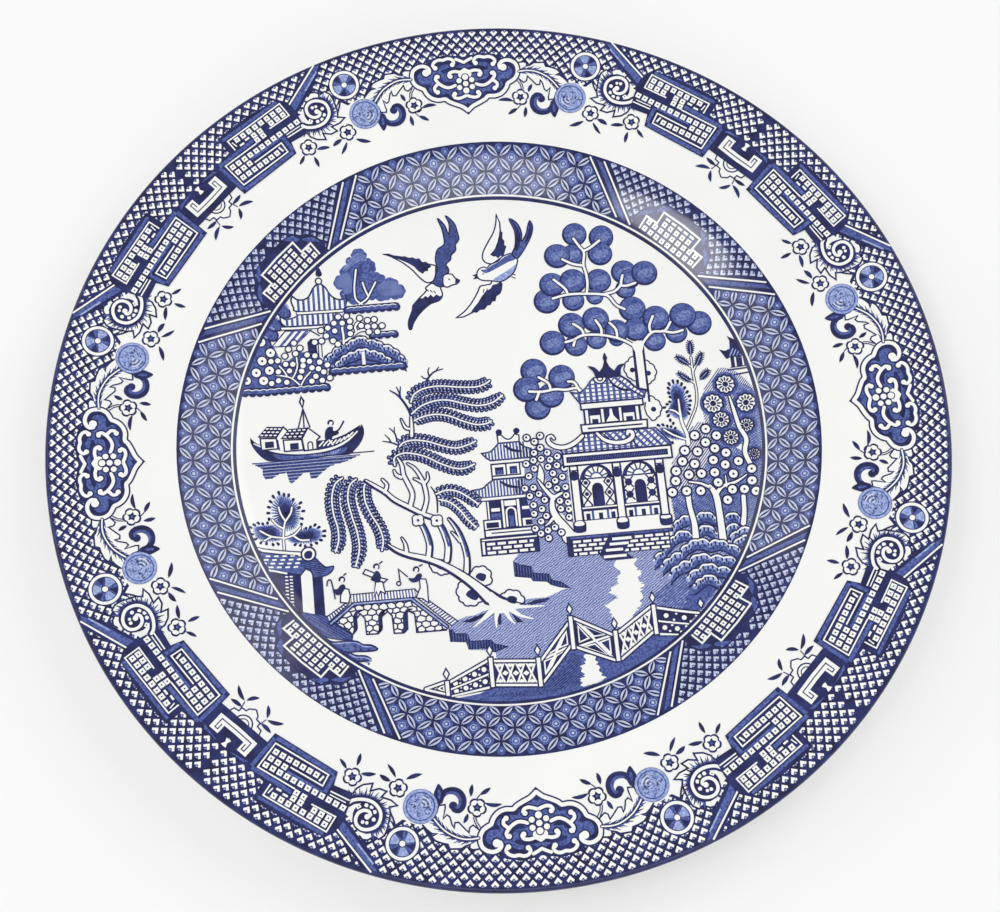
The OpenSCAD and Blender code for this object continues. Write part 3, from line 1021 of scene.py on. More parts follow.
def left_dove(sheet):
    """The dove that flies down to the left."""
    far_wing = smooth([(-29.7, 62.3), (-26.6, 61.5), (-22, 60.3), (-18.4, 58.6), (-14, 57.2)])
    far_wing += smooth([(-14.3, 54.4), (-15, 52.5), (-16.4, 51.8), (-17.7, 52.2), (-19.3, 53.8),
                        (-21.4, 56.6), (-24.2, 59.2), (-27.4, 61.4)])
    edged(sheet, WHITE, 0, far_wing, 0.45)
    sheet.fill(NAVY, 2, [
        (-29.9, 62.4), (-28, 62.4), (-25.9, 61.4), (-24, 60.8), (-23.4, 61.2), (-21.8, 60.4), (-21, 60.6),
        (-19.8, 59.9), (-18.9, 60.1), (-18, 58.7), (-16.8, 58.7), (-16, 57.8), (-15.3, 57), (-16.4, 56.4),
        (-16.5, 55.6), (-17.4, 55.6), (-18.2, 54.8), (-19.4, 55.8), (-20.6, 57.4), (-22.6, 58.9), (-25, 60.2),
        (-27.6, 61.4),
    ])
    near_wing = smooth([(-15.7, 51.6), (-17.6, 50.3), (-17.6, 49.2), (-19.7, 47.2)]) + smooth(
        [(-21.8, 45), (-22.3, 43.2), (-23.6, 40), (-23.7, 37.6), (-23, 37.3), (-22, 39.6), (-19.8, 42.4),
         (-16.8, 44.8), (-13.9, 45.8), (-12.8, 47.6), (-13.4, 50.3)])
    edged(sheet, WHITE, 0, near_wing, 0.45)
    sheet.fill(NAVY, 2, [
        (-19.8, 47.2), (-18.9, 46.8), (-18, 47.6), (-17.2, 47), (-16.4, 47.9), (-15.6, 47), (-14.7, 47.8),
        (-13.6, 47.1), (-12.9, 47.4), (-13.6, 46), (-16.8, 44.9), (-19.7, 42.7), (-21.8, 39.8), (-23, 37.3),
        (-23.6, 37.5), (-23.6, 40), (-22.6, 42.5), (-22.2, 44.8), (-21, 46),
    ])
    for x, y in ((-17.4, 49), (-16.3, 48.6), (-15.3, 48.2)):
        sheet.line(NAVY, 2, [(x, y + 0.7), (x + 0.5, y)], 0.3)
    tail = [(-12.2, 72.4), (-11.2, 69.2), (-10.8, 66), (-11, 63.8), (-12.9, 62.6), (-13.7, 60.8), (-14, 58.6),
            (-13.6, 56.8), (-14, 54.6), (-15.2, 52), (-14.4, 50.6), (-12.8, 50.1), (-11.7, 50.6),
            (-12.2, 52.4), (-10.5, 54.4), (-10.3, 55.8), (-10.9, 57.3), (-9.4, 58.7), (-9.1, 60.2),
            (-7.6, 61.6), (-7.5, 63.5), (-6.3, 65.2), (-6.6, 67.8), (-7.1, 70.2), (-8.3, 72), (-9.7, 73.1),
            (-8.9, 71), (-8.9, 68.6), (-9.4, 67.2), (-10, 69.6), (-11, 71.3)]
    edged(sheet, BLUE, 3, smooth(tail, 3, closed=True), 0.42)
    hatch(sheet, NAVY, 4, tail, 0.55, 0.2, 30, 0.3)
    head = smooth([(-12, 53.6), (-10.6, 54.1), (-9.3, 53.8), (-8.6, 52.6), (-7.5, 51.9), (-7.4, 51.4),
                   (-8.3, 50.6), (-9.6, 50.4), (-11.2, 49.8), (-12.3, 50.8)], 3, closed=True)
    edged(sheet, WHITE, 5, head, 0.42)
    sheet.dot(NAVY, 7, -10.4, 52.3, 0.28, 8)
    sheet.fill(NAVY, 7, [(-8.5, 52.3), (-7.4, 51.8), (-7.4, 51.3), (-8.7, 50.7)])


def right_dove(sheet):
    """The dove that flies in from the right."""
    far_wing = smooth([(5.8, 72.4), (5.4, 69.6), (4.4, 66.6), (2.4, 63.4), (0.8, 60.6), (0.3, 58.3),
                       (1.2, 56.8), (3, 56.2)])
    far_wing += smooth([(6.3, 58.2), (6.2, 62), (6.5, 66), (6.6, 69.6)])
    edged(sheet, WHITE, 0, far_wing, 0.45)
    sheet.fill(NAVY, 2, [
        (6.3, 67), (7.2, 66.3), (6.9, 64.4), (7.5, 63.4), (7.3, 62.2), (7.9, 61.6), (7.2, 59.8), (6.9, 58.8),
        (5.8, 58.6), (5, 57.8), (4.4, 58.6), (3.6, 58.6), (2.7, 59.3), (4.2, 60.9), (5.3, 63.2), (6, 65.5),
    ])
    near_wing = smooth([(2.5, 51), (2, 49.8), (0.4, 49.5), (-1.2, 49.2), (-2.4, 47), (-4.4, 44), (-6.6, 41.6),
                        (-9.3, 39.7)]) + smooth([(-7.2, 39.8), (-4.8, 40.8), (0, 43), (3, 46), (5, 50.4)])
    edged(sheet, WHITE, 0, near_wing, 0.45)
    sheet.fill(NAVY, 2, [
        (-5.2, 40.5), (-4.2, 41), (-2.9, 40.8), (-2, 41.6), (-0.6, 41.6), (0.4, 42.8), (1.3, 42.9), (2, 44),
        (2.9, 44), (3.4, 45.6), (4.6, 46.3), (5.2, 47.4), (5.6, 49.4), (5.2, 50.3), (3.9, 49.6), (2.6, 49.4),
        (1.8, 48.2), (0.4, 47.6), (-1, 46), (-2.4, 44), (-4, 42.2),
    ])
    for x in (-0.2, 0.8):
        sheet.line(NAVY, 2, [(x, 48.2), (x - 0.2, 47.2)], 0.3)
    body = smooth([(-1.8, 53.7), (-0.9, 55), (0.4, 55.4), (1.4, 55), (2.4, 56), (5, 57), (6.6, 58.5),
                   (9.6, 59.1), (10.8, 57.4), (10.5, 55.4), (9.4, 53), (7.4, 51.2), (5, 50.2), (2.5, 50.7),
                   (0.2, 51), (-1, 51.4), (-1.8, 52.4)], 3, closed=True)
    edged(sheet, WHITE, 3, body, 0.42)
    sheet.blob(BLUE, 4, [(-0.6, 54.6), (1.2, 54.6), (2.6, 55.6), (5.2, 56.8), (7, 58.2), (9.6, 58.9),
                         (10.3, 57.2), (8, 56.4), (5, 55), (2.4, 53.8), (0.6, 53.4)], 3)
    sheet.blob(PALE, 4, [(2.8, 50.9), (5, 50.4), (7.3, 51.4), (9.3, 53.2), (10.2, 55.4), (8, 54),
                         (5.4, 52.6)], 3)
    tail = [(9.4, 59), (10.4, 61), (10.9, 63.8), (10.8, 66.8), (9.6, 70.5), (11.3, 69.6), (12.5, 67.6),
            (12.9, 65), (12.6, 62.8), (14.2, 65), (15, 67.6), (15.8, 69.4), (16.5, 67.4), (15.8, 64.6),
            (14.4, 62), (12.6, 59.3), (10.7, 57.3)]
    edged(sheet, BLUE, 4, smooth(tail, 3, closed=True), 0.42)
    sheet.line(NAVY, 5, smooth([(10.6, 60, 1.2), (11.6, 63, 1.4), (11.7, 66.4, 1.1), (10.4, 69.8, 0.3)]),
               ends=False)
    sheet.line(NAVY, 5, smooth([(13.6, 62, 0.3), (15.4, 65.4, 1.0), (15.9, 68.6, 0.6)]), ends=False)
    sheet.fill(NAVY, 5, [(-1.7, 53.5), (-3.4, 52.9), (-2.4, 52.6), (-3.2, 51.7), (-1.7, 51.8)])
    sheet.dot(NAVY, 5, 0, 53.2, 0.25, 8)
    for y in (50.9, 52):
        sheet.line(NAVY, 3, [(8.6, y + 0.6), (9.6, y)], 0.3)


# ---------------------------------------------------------------- the tree of leaf balls

LEAF_BALLS = (
    (28.9, 63.6, 3.8), (36.9, 61.9, 3.8), (36, 56.6, 3.8), (27.6, 57, 3.4), (22.9, 57, 4), (26.3, 42.1, 3.4),
    (32.9, 42.8, 2.6), (18.3, 42.6, 4), (20.4, 47.8, 3.9), (26.8, 48.3, 4.1), (34.6, 47.9, 3.9),
    (42.4, 44.4, 3.1), (42.5, 50, 3.9), (44, 47.6, 3.2), (48.7, 49.1, 4), (25.6, 27.7, 3.5), (31.9, 29, 3.1),
    (37.9, 28.6, 2.3), (44, 31.2, 3.8), (38.2, 31.2, 3.7), (18.7, 29.1, 4), (24.9, 34.2, 4.1),
    (32.3, 35.4, 4.1), (49.2, 27.1, 3.4), (50.4, 34.2, 4.1), (56, 29.1, 3.4), (63.1, 31.5, 3.9),
    (58.6, 34.4, 4.1), (43.7, 37.8, 4.1), (9.4, 15.1, 4), (12.1, 20.7, 4), (12.2, 9.2, 3.9),
    (16.5, 12.6, 3.9), (20.2, 18, 4),
)


def leaf_ball(sheet, level, x, y, r):
    """A round mass of leaves, dark at its rim and below, with light strokes at its heart."""
    sheet.dot(NAVY, level, x, y, r, 28)
    sheet.dot(BLUE, level + 0.5, x + 0.05 * r, y + 0.07 * r, r * 0.88, 28)
    for i in range(-3, 4):
        reach = r * math.sqrt(0.36 - (0.14 * i) ** 2)
        sheet.line(PALE, level + 1, [(x - reach + 0.1 * r, y + 0.1 * i * r - 0.2 * reach),
                                     (x + reach + 0.1 * r, y + 0.1 * i * r + 0.2 * reach)], 0.13)


def ball_tree():
    """The tall tree of leaf balls behind the house."""
    sheet = Sheet()
    for i, (x, y, r) in enumerate(LEAF_BALLS):
        leaf_ball(sheet, 1.5 * (i % 5), x, y, r)
    stems(sheet, 9, [
        [(41.4, 38), (39, 39.6), (37.2, 42.4), (35.3, 43.3), (31, 43.9), (25, 44.2), (20.2, 43.3)],
        [(30.6, 44), (31.2, 47.6), (31, 51), (30.6, 53.6), (31.2, 57.4), (30, 59.6), (28.5, 62.3)],
        [(31, 58), (33, 58.7), (36.3, 61)],
        [(30.5, 53.2), (27.4, 54), (24.4, 55.8)],
        [(24.8, 44.2), (24.2, 46.2), (21.1, 49.4)],
        [(36, 43.4), (39, 44), (41, 45.7), (41.5, 47.4), (42, 49)],
        [(41, 45.7), (43, 45.5), (45.6, 46.2)],
        [(33.6, 30.5), (33.6, 32.6), (32.3, 35.2)],
        [(28.3, 30.9), (27.6, 32.8), (25.5, 34.6)],
        [(38.2, 29.4), (38, 31.8), (36.4, 34)],
        [(25.6, 29.8), (24.8, 27.6)],
        [(48.4, 29.8), (48.2, 32), (49.6, 35)],
        [(47.6, 29), (49.4, 30), (52.6, 30), (54.6, 32.6)],
        [(52, 30), (55, 29.2), (58, 29.7)],
        [(22.6, 29), (25, 29.5), (28, 30.7), (33, 30.4), (38, 29), (41.6, 27), (43.6, 25)],
        [(47.8, 29.2), (46, 27.2), (44.6, 25)],
        [(25.8, 12.6), (24.4, 14.2), (21, 14), (18, 14.4), (14, 14), (10.2, 14.4)],
        [(16.6, 14.4), (16, 16.6), (13.4, 18.6)],
        [(13.2, 14.1), (12, 11.6)],
        [(25, 13.4), (23.8, 16), (22, 16.5)],
    ], 0.72, 0.35)
    sheet.fill(NAVY, 9, [(41.9, 8), (42.3, 26.2), (45.8, 26.6), (45.7, 8)])
    sheet.fill(WHITE, 11, [(43, 8), (43, 24), (42, 26.6), (44, 27.6), (46.2, 27.2), (45.1, 24), (45, 8)])
    lobes = ((0, 4.2), (1.8, 3), (3, 1.4), (2.8, -1), (1.6, -2.6), (0, -3.4))
    for side, x, y in ((1, 45.2, 17), (-1, 42.4, 18.4), (1, 45.4, 5.6)):
        half = [(x + side * u, y + v) for u, v in lobes]
        outline = scallops(half, -0.22 * side)
        edged(sheet, WHITE, 6, outline, 0.4)
        sheet.dot(NAVY, 8, x + side * 0.9, y, 0.8, 12)
    return sheet


# ---------------------------------------------------------------- the boat


def cabin(sheet, level, roof, wall_low, window):
    """A small cabin: a roof of light tiles on navy, a white wall and a dark window."""
    (ax, ay), (bx, by), (cx, cy), (dx, dy) = roof
    edged(sheet, WHITE, level, [(ax + 0.8, ay - 0.4), (dx, dy - 0.3), (dx + 0.3, wall_low),
                                (ax + 1, wall_low)], 0.45)
    sheet.fill(NAVY, level + 2, roof)
    for v in (0.2, 0.5, 0.8):
        for u in (0.14, 0.38, 0.62, 0.86):
            x = (ax + (dx - ax) * u) * (1 - v) + (bx + (cx - bx) * u) * v
            y = (ay + (dy - ay) * u) * (1 - v) + (by + (cy - by) * u) * v
            sheet.line(WHITE, level + 3, [(x - 0.25, y), (x + 0.25, y)], 0.42)
    x0, y0, x1, y1 = window
    sheet.fill(NAVY, level + 2, [(x0, y0), (x1, y0), (x1, y1), (x0, y1)])


def boat():
    """The boat with two cabins and its rower, above its reflection."""
    sheet = Sheet()
    reflection = [
        (-73.4, -0.3), (-41, -0.6), (-45, -2.2), (-50, -3.3), (-52.5, -5), (-54.5, -6.8), (-55.8, -6.8),
        (-56.2, -4.8), (-58, -4.8), (-60, -6.5), (-61.5, -7.6), (-62.2, -7), (-62.8, -4.2), (-65, -4.4),
        (-67.5, -5.8), (-69, -5.8), (-69.8, -4.2), (-69.7, -2.5), (-72, -1),
    ]
    hatch(sheet, BLUE, 0, reflection, 0.48, 0.38)
    hatch(sheet, NAVY, 1, reflection, 0.96, 0.24)
    sheet.fill(NAVY, 0, [(-53.8, 1.8), (-53.4, 4.8), (-48.6, 4.9), (-45, 6.1), (-40.2, 8.7), (-42, 5.5),
                         (-48, 2)])
    for x in steps(-52, -42, 8):
        y = 3.9 + 0.045 * (x + 50) ** 2 * (x > -50)
        sheet.line(WHITE, 1, [(x - 0.8, y - 0.8), (x + 0.5, y + 0.5)], 0.42)
    hull = smooth([(-72.8, 7.4), (-71.4, 5.8), (-69, 4.4), (-65.8, 3), (-62, 2.1), (-57, 1.7), (-52, 1.9),
                   (-48, 2.7), (-44.4, 4.5), (-42, 6.4), (-39.9, 8.7)])
    hull += smooth([(-39.4, 7.2), (-39.6, 5.2), (-40.7, 3), (-42.6, 0.9), (-44.4, -0.3), (-50, -0.3),
                    (-56, -0.6), (-62, -0.8), (-66, -0.5), (-68.4, 0), (-70.4, 1.8), (-72, 4), (-72.8, 5.8)])
    sheet.fill(NAVY, 2, hull)
    sheet.blob(BLUE, 3, [(-66.6, 1.8), (-62, 0.9), (-57, 0.6), (-51, 0.7), (-46.4, 1.9), (-44.6, 1.8),
                         (-46.6, 0.2), (-52, 0), (-58, -0.3), (-64, -0.1)])
    hatch(sheet, PALE, 4, [(-58, 0.6), (-51, 0.7), (-46, 1.9), (-48, 0.3), (-53, 0.1)], 0.5, 0.22, 90)
    sheet.curve(WHITE, 4, [(-71.8, 5.4, 0.3), (-69, 4, 0.5), (-65.6, 2.6, 0.7), (-61.6, 1.8, 0.75),
                           (-57, 1.4, 0.75), (-52, 1.6, 0.75), (-48, 2.4, 0.7), (-44.4, 4.1, 0.6),
                           (-41.4, 6.6, 0.4)])
    cabin(sheet, 5, [(-70.7, 7.3), (-67.8, 10.4), (-63, 9.9), (-65.2, 6.8)], 3.3, (-68.6, 3.8, -66, 5.7))
    sheet.fill(WHITE, 5, [(-65.2, 6.8), (-63, 9.9), (-61.4, 8.2), (-62, 2.6), (-64.6, 2.9)])
    sheet.line(NAVY, 6, [(-65.2, 6.8), (-63, 9.9), (-61.2, 8)], 0.5)
    sheet.line(NAVY, 6, [(-64.9, 6), (-64.5, 3)], 0.4)
    edged(sheet, WHITE, 8, [(-57.7, 5.7), (-55.8, 9), (-52.4, 5.9), (-53.4, 5), (-53.5, 2.2), (-57.2, 2)],
          0.45)
    cabin(sheet, 9, [(-64, 6.2), (-61.4, 9.1), (-55.8, 9.1), (-57.8, 5.8)], 2.3, (-61.3, 2.6, -58.8, 4.6))
    sheet.line(NAVY, 10, [(-56.1, 2.2)] + arc(-55.4, 3.9, 0.7, 180, 0, 8) + [(-54.7, 2.2)], 0.4)
    for foot in (-58.6, -56.9, -55.2):
        sheet.line(NAVY, 4, [(-56.9, 15), (foot, 9.2)], 0.42)
    edged(sheet, WHITE, 4, [(-57.2, 18.8), (-56.5, 17.4), (-57, 15.4), (-57.7, 17.2)], 0.55)
    sheet.curve(NAVY, 6, [(-48.4, 7), (-46.8, 7.6), (-45.2, 10.1)], 0.5)
    sheet.blob(NAVY, 6, [(-51, 5.2), (-50.8, 7.4), (-49.9, 8.6), (-48.5, 8.6), (-48.4, 7.4), (-46.9, 7),
                         (-47.2, 6.2), (-48.8, 5.6), (-49, 4.6), (-50.6, 4.6)])
    sheet.curve(WHITE, 7, [(-49.8, 4.6), (-48.8, 3.2)], 0.5)
    head(sheet, 6, -49, 9.9)
    sheet.line(NAVY, 1, [(-44.5, 0.1), (-37, 0.1)], 0.38)
    return sheet


def head(sheet, level, x, y):
    """The round head of a small figure, drawn with a line and dark hair."""
    r = 0.72
    sheet.dot(WHITE, level, x, y, r)
    sheet.line(NAVY, level + 1, arc(x, y, r, 200, -50, 12), 0.38)
    sheet.line(NAVY, level + 1, arc(x, y, r, 190, 60, 8), 0.6)


# ---------------------------------------------------------------- the willow


def frond(sheet, level, spine, reach=1.6):
    """A feathery frond: a dark band with a light rib, beads along both edges and slanting flecks."""
    path = smooth(spine, 14)
    body = []
    walked = 0.0
    for i in range(1, len(path)):
        (x0, y0), (x1, y1) = path[i - 1], path[i]
        length = math.hypot(x1 - x0, y1 - y0) or 1
        ux, uy = (x1 - x0) / length, (y1 - y0) / length
        share = i / len(path)
        out = reach * min(1, 0.5 + 5 * share, 0.4 + 5 * (1 - share))
        body.append((x1, y1, 1.7 * out))
        walked += length
        if walked < 1.0:
            continue
        walked = 0.0
        for side in (-1, 1):
            x, y = x1 - uy * out * side, y1 + ux * out * side
            sheet.dot(NAVY, level, x, y, 0.68, 10)
            sheet.dot(PALE, level + 1, x + 0.1 * ux, y + 0.1 * uy, 0.24, 6)
            near, far = 0.3 * out, 0.66 * out
            fleck = [(x1 - uy * near * side - 0.3 * ux, y1 + ux * near * side - 0.3 * uy),
                     (x1 - uy * far * side + 0.1 * ux, y1 + ux * far * side + 0.1 * uy)]
            sheet.line((MIST, PALE)[i % 2], level + 1, fleck, 0.36, ends=False)
    sheet.line(NAVY, level, body)
    sheet.line(WHITE, level + 2, path, 0.46)


def trunk_flower(sheet, level, petals, heart):
    """A half-hidden flower on the trunk: lobes drawn with a line, round a dark heart."""
    outline = scallops(petals, 0.25)
    edged(sheet, WHITE, level, outline, 0.45)
    x, y, r = heart
    sheet.blob(NAVY, level + 2, [(x - r, y), (x - 0.3 * r, y + 0.8 * r), (x + r, y + 0.3 * r),
                                 (x + 0.4 * r, y - 0.9 * r)], 4)


def small_flower(sheet, level, x, y):
    """A flower of four round petals round a dark heart."""
    r = 1.5
    for lift, tone, rim in ((0, NAVY, 0.4), (1, WHITE, 0)):
        for a in (45, 135, 225, 315):
            px, py = x + r * 0.52 * math.cos(math.radians(a)), y + r * 0.52 * math.sin(math.radians(a))
            sheet.dot(tone, level + lift, px, py, r * 0.62 + rim, 14)
    sheet.dot(NAVY, level + 2, x, y, r * 0.28, 10)


def willow():
    """The willow: its fronds, its bare twigs and its leaning trunk."""
    sheet = Sheet()
    for points in (
        [(-25, 14.2), (-23.8, 16.6), (-20.6, 18.2), (-16, 18.5), (-10.6, 17.7), (-5.4, 17.3), (-2.6, 18),
         (-1.2, 18.9)],
        [(-25, 10.6), (-22, 12.8), (-18, 14), (-14, 13.9), (-9.4, 12.4), (-5, 11.4), (-1, 12), (2.2, 14)],
        [(-25, 8.2), (-21.8, 9.4), (-18, 9.8), (-14, 8.9), (-10, 6.9), (-6.4, 5.6), (-3.4, 5.6), (-1.9, 6.3)],
        [(-29.4, 0.8), (-28, 2), (-25, 2.4), (-21, 1.6), (-17, 0), (-13, -1.1), (-9.6, -0.5), (-7, 0.5)],
        [(-31.2, -4.8), (-31.2, -2.6), (-29, -1.4), (-26, -1.6), (-22, -3), (-18, -5.4), (-14, -7.2),
         (-11, -7.5), (-8, -6.5)],
        [(-46.8, -7.3), (-49, -9), (-50.2, -13), (-50, -18), (-49.1, -22), (-49.1, -26), (-50.2, -29.2)],
        [(-42.8, -8), (-44.8, -9.8), (-45.6, -14), (-44.8, -19), (-43.6, -24), (-43.3, -29), (-44.7, -34)],
        [(-39.8, -8.8), (-40.7, -11), (-40.6, -15), (-39.2, -19), (-37.2, -23), (-36.3, -27), (-36.9, -30)],
    ):
        frond(sheet, 0, points)
    frond(sheet, 0, [(-19.9, -14.6), (-17, -13.7), (-14, -14.2), (-11, -16.1), (-8, -18.7)], 1.3)
    frond(sheet, 0, [(-19.3, -16.3), (-16.2, -17.4), (-13.5, -20), (-11.5, -23), (-9.3, -25.6)], 1.2)
    for points in (
        [(-25.3, 10, 0.9), (-25.9, 12, 0.8), (-27.2, 14.6, 0.7), (-28.8, 16.8, 0.6), (-30.9, 18.4, 0.4)],
        [(-27.9, 15.6, 0.6), (-28.2, 17.4, 0.5), (-28.9, 19.3, 0.35)],
        [(-28.1, 16.6, 0.5), (-27.7, 19.4, 0.3)],
        [(-19.9, 20.4, 0.7), (-18.9, 21.8, 0.6), (-17.2, 23.2, 0.5), (-14.7, 23.8, 0.3)],
        [(-19.3, 21, 0.5), (-20.6, 21.4, 0.4), (-21.2, 22.1, 0.3)],
        [(-18.9, 21.6, 0.5), (-19.2, 23.4, 0.4), (-18.7, 24.6, 0.3)],
        [(-17, 23.2, 0.4), (-15.9, 24.5, 0.3)],
        [(-29.9, 1.3, 0.5), (-31.6, 2.2, 0.5), (-34.2, 2.9, 0.3)],
        [(-31.8, 2.3, 0.5), (-32.4, 3.6, 0.4), (-33.4, 4.8, 0.3)],
        [(-30.1, 3.2, 0.5), (-30.5, 5, 0.45), (-32, 6.8, 0.3)],
        [(-30.6, 5.2, 0.4), (-30.5, 6.9, 0.3)],
        [(-20, -20.2, 0.4), (-19.8, -17, 0.5), (-20.1, -14.4, 0.6), (-21.3, -12.2, 0.3)],
    ):
        sheet.curve(NAVY, 2, points)
    stems(sheet, 4, [
        [(-25.6, 3.8, 0.9), (-25.4, 6, 0.8), (-25.3, 9.6, 0.4)],
        [(-26.1, 6, 0.6), (-27.3, 6.6, 0.6), (-28.3, 9.2, 0.15)],
        [(-29.7, -8.6, 0.9), (-31, -7.8, 0.7), (-31.6, -6.4, 0.3)],
        [(-23.6, -10.8, 0.6), (-25, -9.8, 0.5), (-26, -9.4, 0.2)],
        [(-23.3, -11.2, 0.7), (-22, -9.8, 0.6), (-22, -7.9, 0.2)],
        [(-34.8, -12.6, 0.9), (-34, -10.6, 0.7), (-35.2, -8.8, 0.4)],
        [(-29.9, -31.2, 1), (-30, -28.9, 0.6), (-30.9, -26.8, 0.15)],
        [(-14.2, -29.4, 0.6), (-15.4, -27.6, 0.5), (-16.4, -26.4, 0.2)],
        [(-27.6, -17.2, 1.1), (-26.8, -14, 1), (-27.8, -10.8, 1), (-28.9, -8, 0.9), (-29.2, -5, 0.8),
         (-30.3, -2.6, 0.3)],
        [(-24, -19.6, 1), (-22.8, -16, 0.9), (-23.1, -12, 0.9), (-24, -9, 0.7), (-25.6, -6.2, 0.6),
         (-27.5, -4.6, 0.2)],
    ], 0.8, 0.42)
    for points in (
        [(-23.7, -33, 1.2), (-23.2, -29.6, 1.1), (-24, -25.8, 1), (-25.2, -22.8, 0.8)],
        [(-18.5, -34.6, 1.3), (-17.9, -30.4, 1.2), (-18.8, -26.2, 1.1), (-20, -23.4, 0.9)],
        [(-13.2, -38.6, 1.2), (-12.8, -34, 1), (-13.6, -29.6, 0.9), (-15, -25.6, 0.7), (-17, -22.4, 0.2)],
    ):
        sheet.curve(NAVY, 4, [(x + 0.15, y, w + 1.1) for x, y, w in points])
        sheet.curve(WHITE, 5, points)
        sheet.curve(BLUE, 6, [(x + 0.3, y, w * 0.55) for x, y, w in points[1:]])
    limb = [(-20.4, -21.8, 0.9), (-24, -20.3, 0.9), (-28, -17.8, 1), (-32, -15.2, 0.9), (-34.6, -12.6, 0.8),
            (-37.6, -10.4, 0.7), (-40, -8.6, 0.3)]
    sheet.curve(NAVY, 3, [(x - 0.1, y - 0.15, w + 1.1) for x, y, w in limb])
    sheet.curve(WHITE, 5, limb)
    trunk = [(-7.2, -46.8, 2.9), (-10.6, -43, 2.2), (-14.6, -39.4, 1.7), (-19.4, -35.9, 1.4),
             (-24.4, -33.5, 1.2), (-29, -32, 0.95), (-32.4, -30.4, 0.7), (-35, -28.4, 0.2)]
    sheet.curve(NAVY, 3, [(x - 0.15, y - 0.2, w + 1.2) for x, y, w in trunk])
    sheet.curve(WHITE, 5, trunk)
    sheet.fill(WHITE, 4, [(-8.4, -46.4), (-7.6, -48.4), (-7.2, -50.6), (-5.4, -51.6), (-3.2, -51.4),
                          (-0.6, -50.8), (3, -50), (-1.4, -48.8), (-4.4, -47), (-6.6, -45)])
    sheet.line(NAVY, 6, smooth([(-19.6, -34.9, 0.3), (-14, -38.4, 0.35), (-8, -43.4, 0.35),
                                (-4.2, -46.6, 0.9), (-1, -48.2, 0.5), (3, -49.6, 0.3)]), ends=False)
    trunk_flower(sheet, 1, [(-14.6, -41.2), (-16, -42.8), (-16, -45.6), (-15, -47.4), (-12.8, -48.4),
                            (-10.6, -47.8), (-8.8, -46)], (-12, -45.4, 1.9))
    trunk_flower(sheet, 1, [(-23.2, -34.4), (-23.2, -36.6), (-21.6, -38), (-19.4, -38.6), (-17.4, -37.4)],
                 (-20.6, -36.2, 1.2))
    trunk_flower(sheet, 1, [(-6.8, -42.8), (-6.4, -40.6), (-7.2, -38.2), (-9.4, -37.4), (-11.6, -38.4),
                            (-12, -40.4)],
                 (-9.2, -40.4, 1.5))
    trunk_flower(sheet, 1, [(2.4, -49), (1.8, -46.8), (-0.4, -45.2), (-2.8, -45.6), (-4.4, -47.4)],
                 (-1, -47.9, 1.5))
    small_flower(sheet, 7, -25.8, -22)
    small_flower(sheet, 7, -20.4, -22.6)
    for points in (
        [(-6.6, -50.2, 1.8), (-9.6, -52.6, 1), (-12.6, -54.8, 0.3)],
        [(-5.4, -50.6, 1.6), (-6, -53, 0.9), (-6.1, -55.6, 0.3)],
        [(-3.2, -50.6, 1.6), (-2.2, -53, 0.9), (-0.8, -54.9, 0.3)],
        [(-2, -50.2, 1.8), (1, -52.6, 0.9), (4.6, -53.9, 0.3)],
        [(-2.4, -49.4, 1.6), (2, -50.2, 0.9), (8, -50.4, 0.3)],
    ):
        sheet.curve(WHITE, 5, points)
    return sheet


# ---------------------------------------------------------------- the gatehouse and the bridge


def bead_tree(sheet, leaves, beads, branches, level=0):
    """A tree of blue masses that fray outward from a dark heart, with beads round them and light branches."""
    middles = []
    for outline in leaves:
        mid = [sum(p[k] for p in outline) / len(outline) for k in (0, 1)]
        for x, y in smooth(outline, 5, closed=True):
            edge = (x * 0.88 + mid[0] * 0.12, y * 0.88 + mid[1] * 0.12)
            core = (x * 0.66 + mid[0] * 0.34, y * 0.66 + mid[1] * 0.34)
            sheet.line(PALE, level, [(*mid, 0.4), (x, y, 0.5)], ends=False)
            sheet.line(BLUE, level + 0.5, [(*mid, 0.7), (*edge, 0.4)], ends=False)
            sheet.line(NAVY, level + 1, [(*mid, 0.5), (*core, 0.1)], ends=False)
        middles.append(mid)
    for x, y in beads:
        mx, my = min(middles, key=lambda mid: math.dist(mid, (x, y)))
        sheet.line(NAVY, level + 1, [(x, y, 0.9), (x + 0.1 * (mx - x), y + 0.1 * (my - y), 0.7)])
    stems(sheet, level + 2, branches, 0.5, 0.25)


